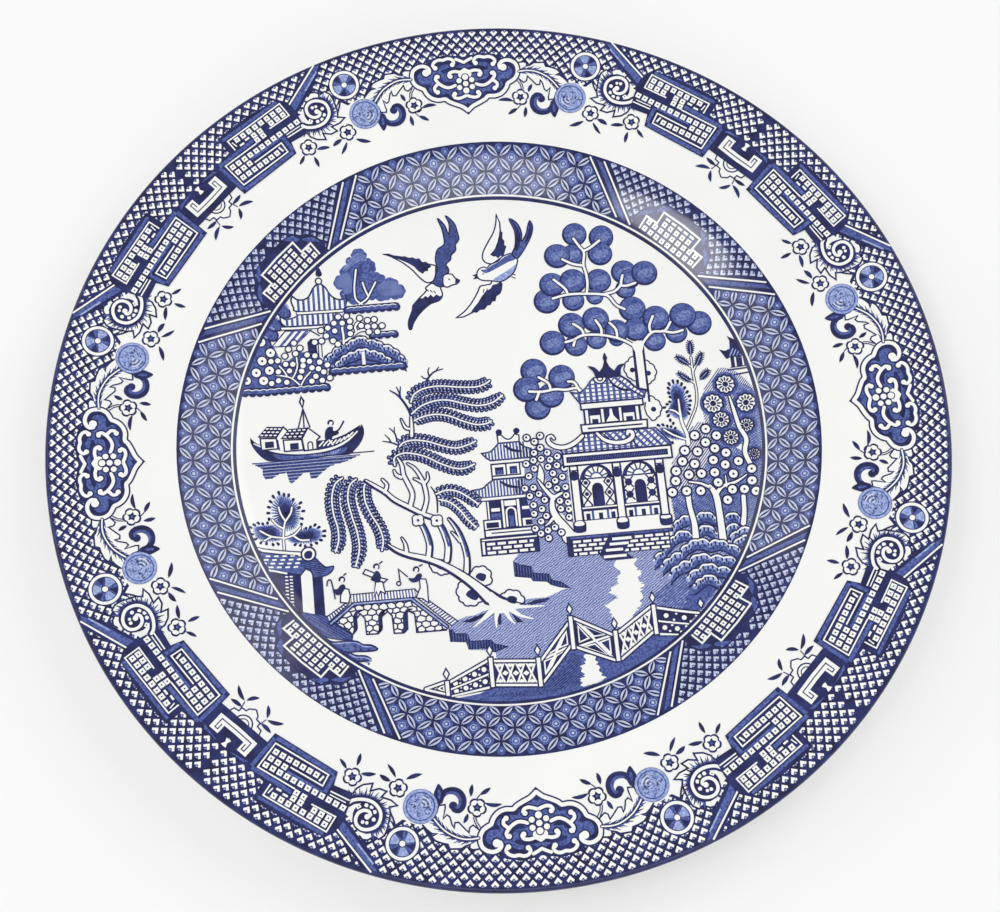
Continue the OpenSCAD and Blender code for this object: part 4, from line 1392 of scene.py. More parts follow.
def left_tree():
    """The little tree behind the gatehouse."""
    sheet = Sheet()
    bead_tree(
        sheet,
        [
            [(-65.5, -10.8), (-62.4, -11.8), (-59.8, -14.6), (-59.8, -18.6), (-61.6, -21.4), (-65, -21.6),
             (-67.4, -19), (-67.8, -14)],
            [(-73.2, -20.2), (-70.8, -19.6), (-67.6, -19.6), (-65.4, -21.8), (-65.8, -24.2), (-69.4, -24.6),
             (-72.6, -23.2)],
            [(-63.8, -23.6), (-60.6, -21.6), (-56.4, -21.4), (-53.8, -22.8), (-54.6, -25.2), (-58.4, -26),
             (-62.4, -25.4)],
        ],
        [
            (-74.3, -20), (-73.1, -19.2), (-71.9, -18.7), (-70.6, -19), (-69.2, -18.8), (-68.7, -17.6),
            (-69, -15.9), (-68.7, -14.1), (-68.1, -12.4), (-67.2, -10.9), (-65.5, -9.9), (-64, -10.6),
            (-62.6, -10.9), (-61.3, -12.4), (-59.2, -13.6), (-59.7, -15), (-58.5, -16.2), (-59.1, -18.5),
            (-59.5, -20), (-58.2, -21.4), (-56.9, -21.1), (-55.5, -20.6), (-54.4, -21.4), (-52.8, -22.7),
            (-53, -24.2), (-54, -25.4), (-55.4, -26.2), (-57, -26.6), (-58.8, -26.8), (-60.2, -26.4),
            (-61.7, -26.1), (-73.9, -22.2), (-72.9, -23.7), (-71.4, -24.9), (-69.8, -25.2), (-67.9, -25.6),
            (-66.4, -25.5),
        ],
        [
            [(-64.8, -27.2), (-64.9, -24), (-64.6, -21), (-64, -18.6)],
            [(-64, -18.8), (-65.2, -16.6), (-65.8, -14.4)],
            [(-64, -18.8), (-62.4, -16.6), (-61.9, -14.8)],
            [(-64.9, -20.8), (-66.4, -19.8), (-67.8, -18)],
            [(-64.9, -23.7), (-68.4, -23), (-71.4, -21.2)],
            [(-68.2, -23.1), (-70.4, -24.2)],
            [(-64.8, -23.9), (-61.8, -23.1), (-59.8, -21.2)],
            [(-62, -23.3), (-60, -24.8), (-57.6, -25)],
        ],
    )
    return sheet


def gatehouse():
    """The gatehouse at the left end of the bridge, and the rocks beneath it."""
    sheet = Sheet()
    ground = smooth([(-61.8, -47.2), (-60, -45.9), (-57.4, -46.6), (-53.4, -48.2), (-51, -50.6),
                     (-48.2, -52.2), (-47.1, -54), (-47.3, -55.4)])
    ground += [(-51, -55), (-54.6, -54.2), (-58, -50.4)]
    edged(sheet, BLUE, 0, ground, 0.4)
    hatch(sheet, NAVY, 1, ground, 0.7, 0.22, 145)
    sheet.fill(NAVY, 2, [(-70.2, -34.2), (-54.4, -34.6), (-54.3, -47.4), (-57.2, -47.2), (-60, -46),
                         (-61.6, -47), (-63.4, -43.6), (-67.2, -38.6)])
    sheet.fill(WHITE, 3, [(-60.5, -46.2)] + arc(-58.95, -35.6, 1.6, 180, 0, 10) + [(-57.3, -47)])
    for x in (-64.6, -63.3):
        for y in steps(-35.4, -45, 10 if x > -64 else 9):
            sheet.line(WHITE, 3, [(x - 0.3, y), (x + 0.25, y - 0.05)], 0.42)
    roof = smooth([(-72.3, -27.6), (-60.8, -29.4)], 1) + smooth(
        [(-59.2, -30.2), (-56.4, -30.4), (-54.9, -32), (-53.2, -33.5), (-51.1, -33.4), (-51.7, -34.9),
         (-53.4, -35.9), (-55.2, -36.2)])
    roof += [(-57, -36.4), (-57.4, -34.4), (-59, -33.4), (-60.6, -35.2), (-64.8, -34), (-70.2, -33.4)]
    edged(sheet, BLUE, 4, roof, 0.4)
    hatch(sheet, NAVY, 5, [(-61, -30), (-56.4, -30.6), (-53, -33.8), (-54, -35.8), (-60, -33)], 0.6, 0.24,
          165)
    for x in steps(-71.2, -59.5, 5):
        for i, y in enumerate((-29, -30.1, -31.2, -32.3)):
            left = x + 0.55 * (3 - i)
            sheet.line(WHITE, 6, [(left - 0.45, y - 0.12 * (x + 71) / 3),
                                  (left + 0.45, y - 0.12 * (x + 71) / 3)], 0.5)
    sheet.ribbon(6, [(-73, -26.9), (-60.4, -28.9)], 0.75, 0.35)
    sheet.line(WHITE, 6, [(-70.4, -33.6), (-64.6, -34.4)], 0.6)
    sheet.dot(NAVY, 7, -58, -29.2, 2.3, 24)
    sheet.dot(WHITE, 8, -58, -29.2, 1.8, 24)
    sheet.blob(NAVY, 9, [(-58.9, -30.4), (-59.2, -29), (-58, -28.2), (-56.9, -28.8), (-57.3, -30.4)])
    for outline in (
        [(-54.6, -54.6), (-52.6, -55.7), (-49, -55.6), (-46, -55.9), (-44.3, -57), (-42, -57.3),
         (-40.3, -58.5), (-41.6, -59), (-46, -58.9), (-50.2, -58.6)],
        [(-50.4, -58.9), (-48.2, -59.2), (-46.4, -60.1), (-43.8, -60.4), (-42.4, -61.4), (-44, -61.9),
         (-46.8, -61.6)],
    ):
        edged(sheet, BLUE, 2, smooth(outline, 4, closed=True), 0.5)
        sheet.curve(PALE, 4, [(x + 0.1, y - 0.5) for x, y in outline[1:6]], 0.35)
        for x, y in outline[1:6]:
            sheet.dot(NAVY, 4, x - 0.6, y - 1.4, 0.3, 8)
    return sheet


def rubble(sheet, level, outline, size, rng):
    """Cracks round rough six-sided stones, as lines between the knots of an uneven grid."""
    xs, ys = [p[0] for p in outline], [p[1] for p in outline]
    across, down = int((max(xs) - min(xs)) / size / 0.75) + 2, int((max(ys) - min(ys)) / size) + 2

    def knot(i, j):
        """The knot in this column and row."""
        return knots[i * (down + 1) + j]

    knots = [
        (min(xs) + 0.75 * size * (i + rng.uniform(-0.26, 0.26)),
         min(ys) + size * (j + (0.17, -0.17)[(i + j) % 2] + rng.uniform(-0.16, 0.16)))
        for i in range(across + 1) for j in range(down + 1)
    ]
    for i in range(across):
        for j in range(down):
            start = knot(i, j)
            for end in [knot(i + 1, j)] + [knot(i, j + 1)] * ((i + j) % 2 == 0):
                kept = [t for t in steps(0, 1.1, 11) if inside(
                    start[0] + (end[0] - start[0]) * t, start[1] + (end[1] - start[1]) * t, outline)]
                if len(kept) > 2:
                    crack = [(start[0] + (end[0] - start[0]) * t, start[1] + (end[1] - start[1]) * t)
                             for t in (kept[0], kept[-1])]
                    sheet.line(NAVY, level, crack, 0.42)


def slats(sheet, level, low, high, count, width):
    """White slats between a low line and a high one, on navy."""
    sheet.fill(BLUE, level, [low[0], low[1], high[1], high[0]])
    for t in steps(0.5 / count, 1 + 0.5 / count, count):
        ends = [(a[0] + (b[0] - a[0]) * t, a[1] + (b[1] - a[1]) * t) for a, b in (low, high)]
        sheet.line(WHITE, level + 1, ends, width, ends=False)
    for line in (low, high):
        sheet.line(NAVY, level + 2, line, 0.35)


def bridge(rng):
    """The bridge of three arches with its rails."""
    sheet = Sheet()
    stone = [(-46, -45.2), (-29.4, -45.2), (-20, -54.3), (-20.4, -54.9), (-28.8, -54.8), (-29, -49.4),
             (-31.1, -48.2), (-31.3, -53.6), (-32.4, -54.6), (-35.2, -54.5), (-35.4, -49.4), (-36.6, -48),
             (-38.4, -49.4), (-38.7, -53.2), (-39.8, -54.2), (-43, -54.1), (-43.2, -49.4), (-44.4, -48),
             (-45.8, -49.6), (-46, -52.8), (-46.9, -53.7), (-51.6, -50.2)]
    edged(sheet, WHITE, 0, stone, 0.45)
    rubble(sheet, 2, stone, 1.55, rng)
    for x, low in ((-45.9, -53.2), (-38.8, -53.8), (-31.8, -54.2)):
        sheet.curve(NAVY, 2, [(x - 0.7, low, 0.6), (x - 0.1, low + 1.2, 1.2), (x, low + 4.6, 1.1),
                              (x + 1, low + 6, 0.8), (x + 2.2, low + 6.2, 0.4)])
    deck = [(-53, -50.2), (-46, -45), (-29.6, -45), (-20, -54)]
    sheet.line(NAVY, 3, deck, 1.3)
    sheet.line(PALE, 4, deck, 0.45)
    slats(sheet, 3, [(-46.8, -44.6), (-28.2, -44.6)], [(-46.8, -42.2), (-28.4, -42.2)], 21, 0.48)
    slats(sheet, 3, [(-27.6, -45.2), (-18.8, -53.8)], [(-26, -44.7), (-17, -52.6)], 14, 0.42)
    slats(sheet, 3, [(-53.9, -48), (-48.4, -44.6)], [(-53.4, -49.6), (-47.6, -45)], 8, 0.36)
    sheet.line(NAVY, 5, [(-28.4, -42.2), (-26.6, -44.6)], 0.4)
    return sheet


def figures():
    """Three small figures crossing the bridge."""
    sheet = Sheet()
    for robe in (
        [(-48.6, -40.2), (-47.2, -40.6), (-46.9, -42.4), (-47.4, -44.6), (-49.8, -44.2), (-49.6, -42.2)],
        [(-39.4, -39.2), (-37.4, -39.2), (-36.8, -42.8), (-38.2, -42), (-38.8, -43.4), (-39.4, -42),
         (-40.2, -43.6)],
        [(-26.8, -39.4), (-25, -39.6), (-24.7, -41.6), (-24.8, -46.6), (-26.4, -45.2), (-28.2, -44.8),
         (-26.8, -42)],
    ):
        edged(sheet, WHITE, 8, robe, 0.38)
    for coat in (
        [(-51.8, -40.3), (-50.6, -42), (-49.2, -41.5), (-48.1, -40), (-48.6, -39), (-49.6, -39.3),
         (-50.4, -40.2)],
        [(-40.8, -38.2), (-39.8, -37.6), (-39.2, -36), (-38.3, -36.2), (-37.8, -37.4), (-38, -38.8),
         (-39.6, -39)],
        [(-30, -38.9), (-29, -40.2), (-27.2, -40), (-26, -38.6), (-26.4, -37.8), (-27.4, -38), (-28.4, -39)],
    ):
        sheet.blob(NAVY, 10, coat)
    head(sheet, 9, -48.9, -37.6)
    head(sheet, 9, -38.8, -34.7)
    head(sheet, 9, -27.5, -36.6)
    for line in (
        [(-48.3, -36.3), (-47.7, -35.9)], [(-37.8, -33.8), (-37.1, -33.3)], [(-26.5, -35.6), (-25.7, -35.3)],
    ):
        sheet.line(NAVY, 9, line, 0.42)
    sheet.curve(NAVY, 9, [(-53.3, -39), (-53, -37.6), (-52.2, -37.4), (-51.8, -38.8), (-51.2, -43)], 0.4)
    edged(sheet, WHITE, 8, [(-42.8, -36.4), (-42, -35.2), (-39.4, -36.6), (-40.2, -37.7)], 0.4)
    edged(sheet, WHITE, 8, [(-38, -38), (-36, -38.7), (-37, -39.5), (-38.4, -38.9)], 0.4)
    sheet.line(NAVY, 9, [(-30.2, -38.4), (-32.6, -36), (-32.4, -39.4)], 0.4)
    sheet.ring(NAVY, 9, -32.8, -40.2, 0.6, 0.36, 14)
    return sheet


# ---------------------------------------------------------------- the pagoda and the fruit tree


def box(x0, y0, x1, y1):
    """The outline of an upright rectangle."""
    return [(x0, y0), (x1, y0), (x1, y1), (x0, y1)]


def bricks(sheet, level, x0, x1, rows, long, high):
    """Courses of white bricks, each course half a brick out from the one before."""
    for i, y in enumerate(rows):
        x = x0 + (long / 2 + 0.35 if i % 2 else 0)
        if i % 2:
            sheet.fill(WHITE, level, box(x0, y - high / 2, x - 0.7, y + high / 2))
        while x + 0.5 < x1:
            sheet.fill(WHITE, level, box(x, y - high / 2, min(x + long, x1), y + high / 2))
            x += long + 0.7


def pagoda():
    """The small pagoda of two storeys on its brick base."""
    sheet = Sheet()
    crown = [(-0.5, -0.9), (-0.6, 1.7)]
    crown += smooth([(0.6, 1.7), (1.6, 0.6), (2.6, 0.2), (3.6, 0.6), (4.6, 1.7)]) + [(5.8, 1.2), (5.7, -0.9)]
    edged(sheet, WHITE, 0, crown, 0.42)
    for x in (0, 5.2):
        sheet.dot(NAVY, 1, x, 2.6, 0.95)
    upper = smooth([(8.9, -3.2), (6.8, -2.3), (5.7, -0.8)])
    upper += smooth([(-0.5, -0.8), (-1.7, -2.1), (-3.2, -3.2), (-5.6, -3.5)])
    upper += [(-4.4, -5), (-3.2, -5.9), (8.8, -5.9)]
    lower = smooth([(9.6, -15.2), (8, -11.8)], 1)
    lower += smooth([(-2.9, -11.8), (-4.6, -12.8), (-6.4, -14.1), (-9.5, -14.5)])
    lower += [(-8, -15.9), (-6.8, -17), (9.2, -17)]
    for roof in (upper, lower):
        edged(sheet, WHITE, 1, roof, 0.5)
        hatch(sheet, BLUE, 2, roof, 0.92, 0.52, 90)
        hatch(sheet, NAVY, 3, [(x * 0.3 + 5.5, y) for x, y in roof], 0.92, 0.42, 90)
    for x, y in ((1.4, -1.8), (-0.8, -12.6)):
        sheet.curve(NAVY, 4, [(x, y, 0.6), (x + 2, y - 1.4, 0.9), (x + 4.6, y - 2, 0.6)])
    sheet.fill(WHITE, 0, box(-3.3, -11.4, 7.2, -5.9))
    for x0, x1 in ((-3.2, 1.1), (1.1, 5.1)):
        sheet.line(NAVY, 1, box(x0, -10.7, x1, -7.1), 0.45, closed=True)
        sheet.fill(NAVY, 1, box(x0 + 1, -10.4, x1 - 0.8, -8.1))
        sheet.fill(BLUE, 2, box(x0 + 1.5, -10.4, x1 - 1.2, -9))
    sheet.line(NAVY, 1, [(-3.2, -7.1), (7, -7.1)], 0.5)
    sheet.line(NAVY, 1, [(-3.2, -10.8), (-3.2, -11.7), (7.4, -11.7)], 0.45)
    sheet.ribbon(2, [(-6.7, -17.5), (8.4, -17.4)], 0.7, 0.35)
    sheet.fill(NAVY, 0, box(-5.8, -26.6, 8.4, -18))
    for x0, y0, x1, y1 in (
        (-5.4, -23.6, -5, -18.3), (-1.3, -26.4, -0.7, -18.2), (3.2, -26.4, 3.9, -18.2),
        (-4.4, -21.4, -1.9, -20.4), (-0.4, -20, 2.9, -18.4), (4.6, -21.4, 7.4, -20.5),
        (-6.8, -26.4, -2, -24), (4.4, -26.4, 8.4, -24.1),
    ):
        sheet.fill(WHITE, 1, box(x0, y0, x1, y1))
    sheet.fill(BLUE, 1, box(-4.6, -23.6, -1.8, -22))
    sheet.line(NAVY, 2, [(-6.9, -28.9), (-6.9, -23.8), (-1.8, -23.8)], 0.42)
    sheet.fill(NAVY, 2, box(-6.2, -26.2, -2.6, -24.6))
    sheet.fill(NAVY, 2, box(5.2, -26.2, 8.4, -24.6))
    sheet.line(WHITE, 1, [(-0.1, -26.2)] + arc(1.25, -21.9, 1.35, 180, 0, 10) + [(2.6, -26.2)], 0.5,
               ends=False)
    sheet.fill(BLUE, 1, box(0.6, -26.2, 1.9, -23))
    edged(sheet, WHITE, 1, box(-6.8, -28.9, 7.6, -26.8), 0.42)
    sheet.line(NAVY, 2, [(-4.8, -27.8), (7.4, -27.8)], 0.4)
    sheet.fill(NAVY, 0, box(-8.5, -34.5, 8.6, -29))
    sheet.line(WHITE, 1, [(-7.9, -29.7), (8, -29.7)], 0.4, ends=False)
    sheet.line(WHITE, 1, [(-7.6, -30.2), (-7.6, -33.9)], 0.7, ends=False)
    bricks(sheet, 1, -6.6, 7, (-31, -32.3, -33.6), 2.4, 0.78)
    return sheet


def fruit_tree():
    """The tree of round fruit beside the pagoda."""
    sheet = Sheet()
    sheet.blob(WASH, 0, [(10.6, -2.4), (13.6, -3.6), (17.6, -5.4), (19.2, -9.4), (19.3, -16), (19.3, -24),
                         (18.8, -26.8), (15.6, -23), (15, -18.6), (12.4, -14), (12, -8), (9.8, -5)])
    sheet.blob(WASH, 0, [(7, -7), (10.6, -9), (10.6, -14.8), (13, -19), (13.4, -24), (11, -26.4),
                         (13.6, -26.8), (15.8, -30), (12, -31.6), (8, -29.6), (6.8, -22), (6, -16),
                         (6.4, -10)])
    edged(sheet, WHITE, 1, smooth([(10.9, -8.2), (11.9, -10.4), (11.9, -13), (10.9, -15.2), (9.8, -13),
                                   (10.2, -10.4)],
                                  4, closed=True), 0.4)
    stems(sheet, 2, [
        [(14, -19, 1.2), (11.6, -15.8, 0.8), (10, -13, 0.3)],
        [(14, -18.8, 1), (16, -17.8, 0.7), (17.2, -17.4, 0.3)],
        [(13.2, -25, 0.8), (12, -26.2, 0.6), (10.8, -27, 0.2)],
        [(17.4, -31, 4), (16, -28, 2.8), (14.4, -25, 1.9), (13.4, -22.4, 1.6), (13.5, -19.8, 1.2),
         (14, -18.4, 1)],
    ], 0.8, 0.42)
    for x, y in (
        (8, 0.1), (12, 0.4), (10.2, -1.3), (11.7, -3.3), (9.7, -4.7), (13.6, -5), (9.3, -7), (11.6, -6.7),
        (14.2, -7.2), (16.4, -6.4), (7.1, -7.9), (9.3, -9.5), (13.4, -9.3), (16, -9.1), (18.1, -10.1),
        (7.5, -11.7), (14.6, -11.4), (17.2, -12.7), (15, -13.7), (13, -14.9), (6, -15.3), (8.5, -15.3),
        (15.3, -16.1), (17.8, -15.9), (7.2, -17.7), (9.9, -17.3), (17.8, -18.4), (11.4, -19.2), (8, -20.5),
        (15.8, -19.9), (18.1, -20.6), (10.3, -21.9), (15.8, -22.3), (18.1, -22.7), (7.9, -23.1),
        (11.4, -24.1), (9.7, -25.6), (18, -25), (7.8, -27.6), (11.4, -28.4), (13.5, -27.7), (9.3, -29.2),
        (15.2, -29.4), (11.4, -30.7),
    ):
        sheet.dot(NAVY, 4, x, y, 1.32)
        sheet.dot(WHITE, 5, x, y, 0.86)
        sheet.dot(NAVY, 6, x - 0.15, y + 0.15, 0.36, 8)
    return sheet


# ---------------------------------------------------------------- the tea-house


def tiled(sheet, level, roof, lean=90):
    """A roof of light tiles between blue ribs."""
    edged(sheet, WHITE, level, roof, 0.5)
    hatch(sheet, BLUE, level + 1, roof, 1.75, 0.85, lean)
    hatch(sheet, BLUE, level + 1.5, roof, 1.25, 0.4, lean - 90)


def teahouse_roofs(sheet):
    """The crown, the two curved roofs and the small room between them."""
    crown = smooth([(28.2, 20.8), (30.2, 20.3), (31.6, 18.7)])
    crown += smooth([(32.7, 20), (33.3, 21.9), (33.1, 22.9), (33.7, 24.6), (34.4, 22.9), (34.1, 21.9),
                     (34.8, 20)])
    crown += smooth([(36.1, 18.7), (37.4, 20.3), (39.4, 20.6), (38.2, 19.2), (37.8, 16.9)])
    sheet.fill(NAVY, 4, crown + [(30.3, 16.9), (29.8, 18.8)])
    roof = smooth([(37.8, 16.9), (39.8, 15.2), (41.8, 12.9), (44.9, 11.7)])
    roof += [(44.2, 10.4), (43.4, 9.3), (24.8, 9.3), (23.7, 11)]
    roof += smooth([(22.4, 13), (24.8, 12.6), (27, 14), (28.8, 16.2), (30.3, 16.9)])
    tiled(sheet, 0, roof)
    gable = smooth([(33.9, 16.6), (35.4, 14.4), (37.8, 12.7), (40.4, 12.2)])
    gable += [(44, 9.6), (44.6, 11.6)] + smooth([(41.8, 12.9), (39.8, 15.2), (37.6, 16.8)])
    tiled(sheet, 2, gable, 135)
    sheet.curve(NAVY, 4, [(33.8, 16.6, 0.4), (35.4, 14.2, 0.6), (37.8, 12.6, 0.8), (40.2, 12.1, 0.5)])
    sheet.curve(NAVY, 4, [(37.8, 16.9, 0.5), (39.8, 15.2, 0.6), (41.8, 12.9, 0.6), (44.9, 11.7, 0.8)])
    edged(sheet, WHITE, 4, arc(31.5, 16.9, 1.9, 180, 360, 12), 0.4)
    sheet.line(NAVY, 6, arc(31.5, 16.6, 0.8, 150, 390, 12), 0.42)
    edged(sheet, WHITE, 4, box(24.9, 7.3, 43.4, 9.2), 0.5)
    sheet.fill(NAVY, 2, box(25.4, 2.4, 42.5, 7.3))
    for x0, y0, x1, y1 in (
        (26, 2.8, 26.8, 7), (30.7, 2.8, 31.4, 7), (36, 2.8, 36.7, 7), (41, 2.8, 41.8, 7),
        (27.3, 2.8, 30.2, 5.2), (37.2, 2.8, 40.4, 5.2),
    ):
        sheet.fill(WHITE, 3, box(x0, y0, x1, y1))
    sheet.fill(NAVY, 4, box(27.8, 2.8, 29.6, 4.1))
    sheet.fill(NAVY, 4, box(37.9, 2.8, 39.9, 4.1))
    sheet.fill(WHITE, 3, [(33.3, 6.9), (33.9, 6.9), (34.2, 4.8), (35.6, 3), (31.9, 3), (33.1, 4.8)])
    edged(sheet, WHITE, 5, [(24.3, 2.6), (24.5, 0.1), (43.8, 0.1), (44, 2.6)], 0.5)
    sheet.line(NAVY, 7, [(26.4, 1.3), (42.3, 1.3)], 0.5)
    roof = [(24.4, -0.2), (46.2, -0.2), (49.8, -4.6), (49.8, -5.8), (18.2, -5.8), (17.6, -4.8)]
    roof += smooth([(19.4, -4), (22, -2.6), (24.4, -0.2)])[:-1]
    tiled(sheet, 0, roof)
    tiled(sheet, 2, [(30, -0.2), (46.2, -0.2), (50, -5), (49.6, -5.8), (39.8, -5.8), (39.4, -3.4), (36, -4.2),
                     (33.4, -3.6)], 130)
    for points in (
        [(24.4, -0.8, 0.9), (22, -2.7, 1.1), (19, -3.8, 1.1), (16.2, -3.4, 1.1), (14.4, -1.9, 1),
         (14.3, -0.5, 0.8), (15.3, 0, 0.6), (16, -0.9, 0.5)],
        [(28.8, -0.4, 0.7), (30.8, -2.6, 0.9), (33.8, -3.7, 1), (37, -3.6, 1.1), (39, -2.4, 1.1),
         (39.1, -1, 1), (38, -0.6, 0.9), (37.7, -1.4, 0.8)],
    ):
        sheet.curve(NAVY, 4, [(x, y, w + 0.85) for x, y, w in points])
        sheet.curve(WHITE, 5, points)
    edged(sheet, WHITE, 5, box(17.9, -9.7, 50, -5.9), 0.55)
    sheet.fill(NAVY, 7, box(18.9, -8.7, 48.9, -6.9))
    hatch(sheet, BLUE, 8, box(19.4, -8.3, 48.4, -7.3), 0.62, 0.22, 60)


def teahouse_bay(sheet, x, lattice):
    """One bay of the front: its arch, fan, lattice and door, about an upright line at x."""
    sheet.fill(NAVY, 2, [(x - 5.4, -22.6), (x - 5.4, -14.2)] + arc(x, -14.6, 4.9, 175, 5, 20) + [
        (x + 5.4, -14.2), (x + 5.4, -22.6)])
    sheet.fill(WHITE, 3, arc(x, -14, 3.5, 180, 0, 16))
    sheet.line(BLUE, 4, arc(x, -14, 1.7, 180, 0, 12), 0.5)
    for a in range(20, 180, 28):
        c, s = math.cos(math.radians(a)), math.sin(math.radians(a))
        sheet.line(NAVY, 4, [(x + 1.9 * c, -14 + 1.9 * s), (x + 3.6 * c, -14 + 3.6 * s)], 0.42)
    sheet.fill(WHITE, 3, box(x - 4.7, -22.3, x + 4.7, -14))
    sheet.line(NAVY, 4, [(x - 4.7, -14), (x + 4.7, -14)], 0.45)
    for side in (-1, 1):
        cx = x + side * 3.3
        if lattice == "diamonds":
            for y in (-15.2, -18.6, -22):
                for v in (-1, 1):
                    sheet.line(NAVY, 4, [(cx - 1.3, y), (cx, y + 1.7 * v), (cx + 1.3, y)], 0.45)
            for y in (-15.2, -18.6):
                sheet.dot(NAVY, 4, cx, y, 0.65, 8)
        else:
            for y in (-16, -19.8):
                sheet.dot(NAVY, 4, cx, y, 1.15, 8)
                for u, v in ((-1.3, -1.6), (1.3, -1.6), (-1.3, 1.6), (1.3, 1.6)):
                    sheet.line(NAVY, 4, [(cx, y), (cx + u, y + v)], 0.45)
        sheet.line(NAVY, 4, [(x + side * 4.8, -14), (x + side * 4.8, -22.4)], 0.42)
    door = [(x - 1.7, -22.3), (x - 1.7, -17)] + arc(x, -17, 1.6, 180, 0, 10)
    door += [(x + 1.7, -17), (x + 1.7, -22.3)]
    sheet.fill(NAVY, 5, door)
    sheet.line(WHITE, 6, [(x - 4.9, -22.8), (x + 4.9, -22.8)], 0.42)
    sheet.fill(NAVY, 2, box(x - 5.4, -26.6, x + 5.4, -22.4))
    sheet.fill(WHITE, 3, box(x - 4.8, -26.3, x + 4.8, -23.8))
    for u in (-3.6, 0.1, 3.7):
        sheet.fill(NAVY, 4, box(x + u - 0.6, -26.3, x + u + 0.6, -24.5))
    for u in (-2.2, 2.2):
        sheet.fill(BLUE, 4, box(x + u - 0.35, -26.3, x + u + 0.35, -23.8))


def teahouse_front(sheet):
    """The columns, the two bays and the brick terrace with its steps."""
    sheet.fill(WHITE, 1, box(19, -31, 47, -9.6))
    teahouse_bay(sheet, 27.1, "diamonds")
    teahouse_bay(sheet, 39.6, "dots")
    for x in (20.7, 33.3, 45.9):
        edged(sheet, WHITE, 5, box(x - 1.15, -26.8, x + 1.15, -9.8), 0.5)
        sheet.fill(NAVY, 7, arc(x, -12.8, 1.5, 0, 360, 16)[:-1])
        sheet.line(NAVY, 7, [(x - 1.3, -11.2), (x + 1.3, -11.2)], 0.35)
        sheet.blob(NAVY, 5, [(x - 1.9, -28.2), (x - 1.6, -29.7), (x, -30.1), (x + 1.6, -29.7),
                             (x + 1.9, -28.2), (x + 1.7, -26.8), (x, -26.2), (x - 1.7, -26.8)])
        sheet.blob(WHITE, 6, [(x - 1.4, -27.7), (x, -28), (x + 1.4, -27.7), (x + 1.1, -26.8), (x, -26.5),
                              (x - 1.1, -26.8)])
    sheet.fill(NAVY, 2, box(16.4, -36.9, 18, -30.8))
    sheet.fill(NAVY, 2, box(16.4, -32, 47.6, -30.8))
    sheet.fill(BLUE, 3, box(17.6, -31.7, 47, -31.1))
    sheet.fill(NAVY, 2, box(17.6, -36.9, 46.4, -31.6))
    bricks(sheet, 3, 18.2, 46, (-32.6, -33.8, -35.05, -36.3), 2.3, 0.72)
    sheet.fill(NAVY, 4, [(28.8, -31.4), (36.4, -31.4), (32.8, -36.6), (35.2, -38.9), (27, -38.9),
                         (25.4, -37)])
    for x0, x1, y in ((29.6, 35.2, -32.7), (28.7, 34.2, -34.2), (27.4, 32.4, -35.9), (26.6, 33.2, -37.8)):
        sheet.line(WHITE, 5, [(x0, y), (x1, y)], 0.8, ends=False)


def teahouse():
    """The large house with two curved roofs."""
    sheet = Sheet()
    teahouse_front(sheet)
    teahouse_roofs(sheet)
    return sheet


# ---------------------------------------------------------------- the garden at the right


def rosette(sheet, level, x, y, r):
    """A large open flower: round white lobes, a ring of navy seeds and a dark heart."""
    lobes = [(x + r * 0.9 * math.cos(math.radians(a)), y + r * 0.9 * math.sin(math.radians(a)))
             for a in range(0, 360, 36)]
    sheet.dot(BLUE, level - 1, x, y, r + 1.0, 20)
    edged(sheet, WHITE, level, scallops(lobes, 0.32), 0.6)
    for i in range(12):
        a = math.radians(30 * i)
        c, s = math.cos(a), math.sin(a)
        sheet.line(NAVY, level + 2, [(x + 0.45 * r * c, y + 0.45 * r * s),
                                     (x + 0.7 * r * c, y + 0.7 * r * s)], 0.5)
    sheet.dot(NAVY, level + 2, x, y, 0.3 * r, 12)


def fringed_leaf(sheet, level, x0, y0, x1, y1, width):
    """A leaf of short slanting strokes either side of its rib."""
    length = math.hypot(x1 - x0, y1 - y0)
    ux, uy = (x1 - x0) / length, (y1 - y0) / length
    sheet.leaf(NAVY, level, x0, y0, x1, y1, width * 0.85)
    sheet.line(PALE, level + 2, [(x0, y0), (x0 + 0.7 * (x1 - x0), y0 + 0.7 * (y1 - y0))], 0.2)
    for t in steps(0.12, 0.98, 7):
        for side in (-1, 1):
            out = width * 0.6 * math.sin(math.pi * (0.15 + 0.75 * t))
            x, y = x0 + (x1 - x0) * t, y0 + (y1 - y0) * t
            tip = (x + ux * 0.6 - uy * out * side, y + uy * 0.6 + ux * out * side)
            sheet.line(NAVY, level + 1, [(x, y), tip], 0.3)


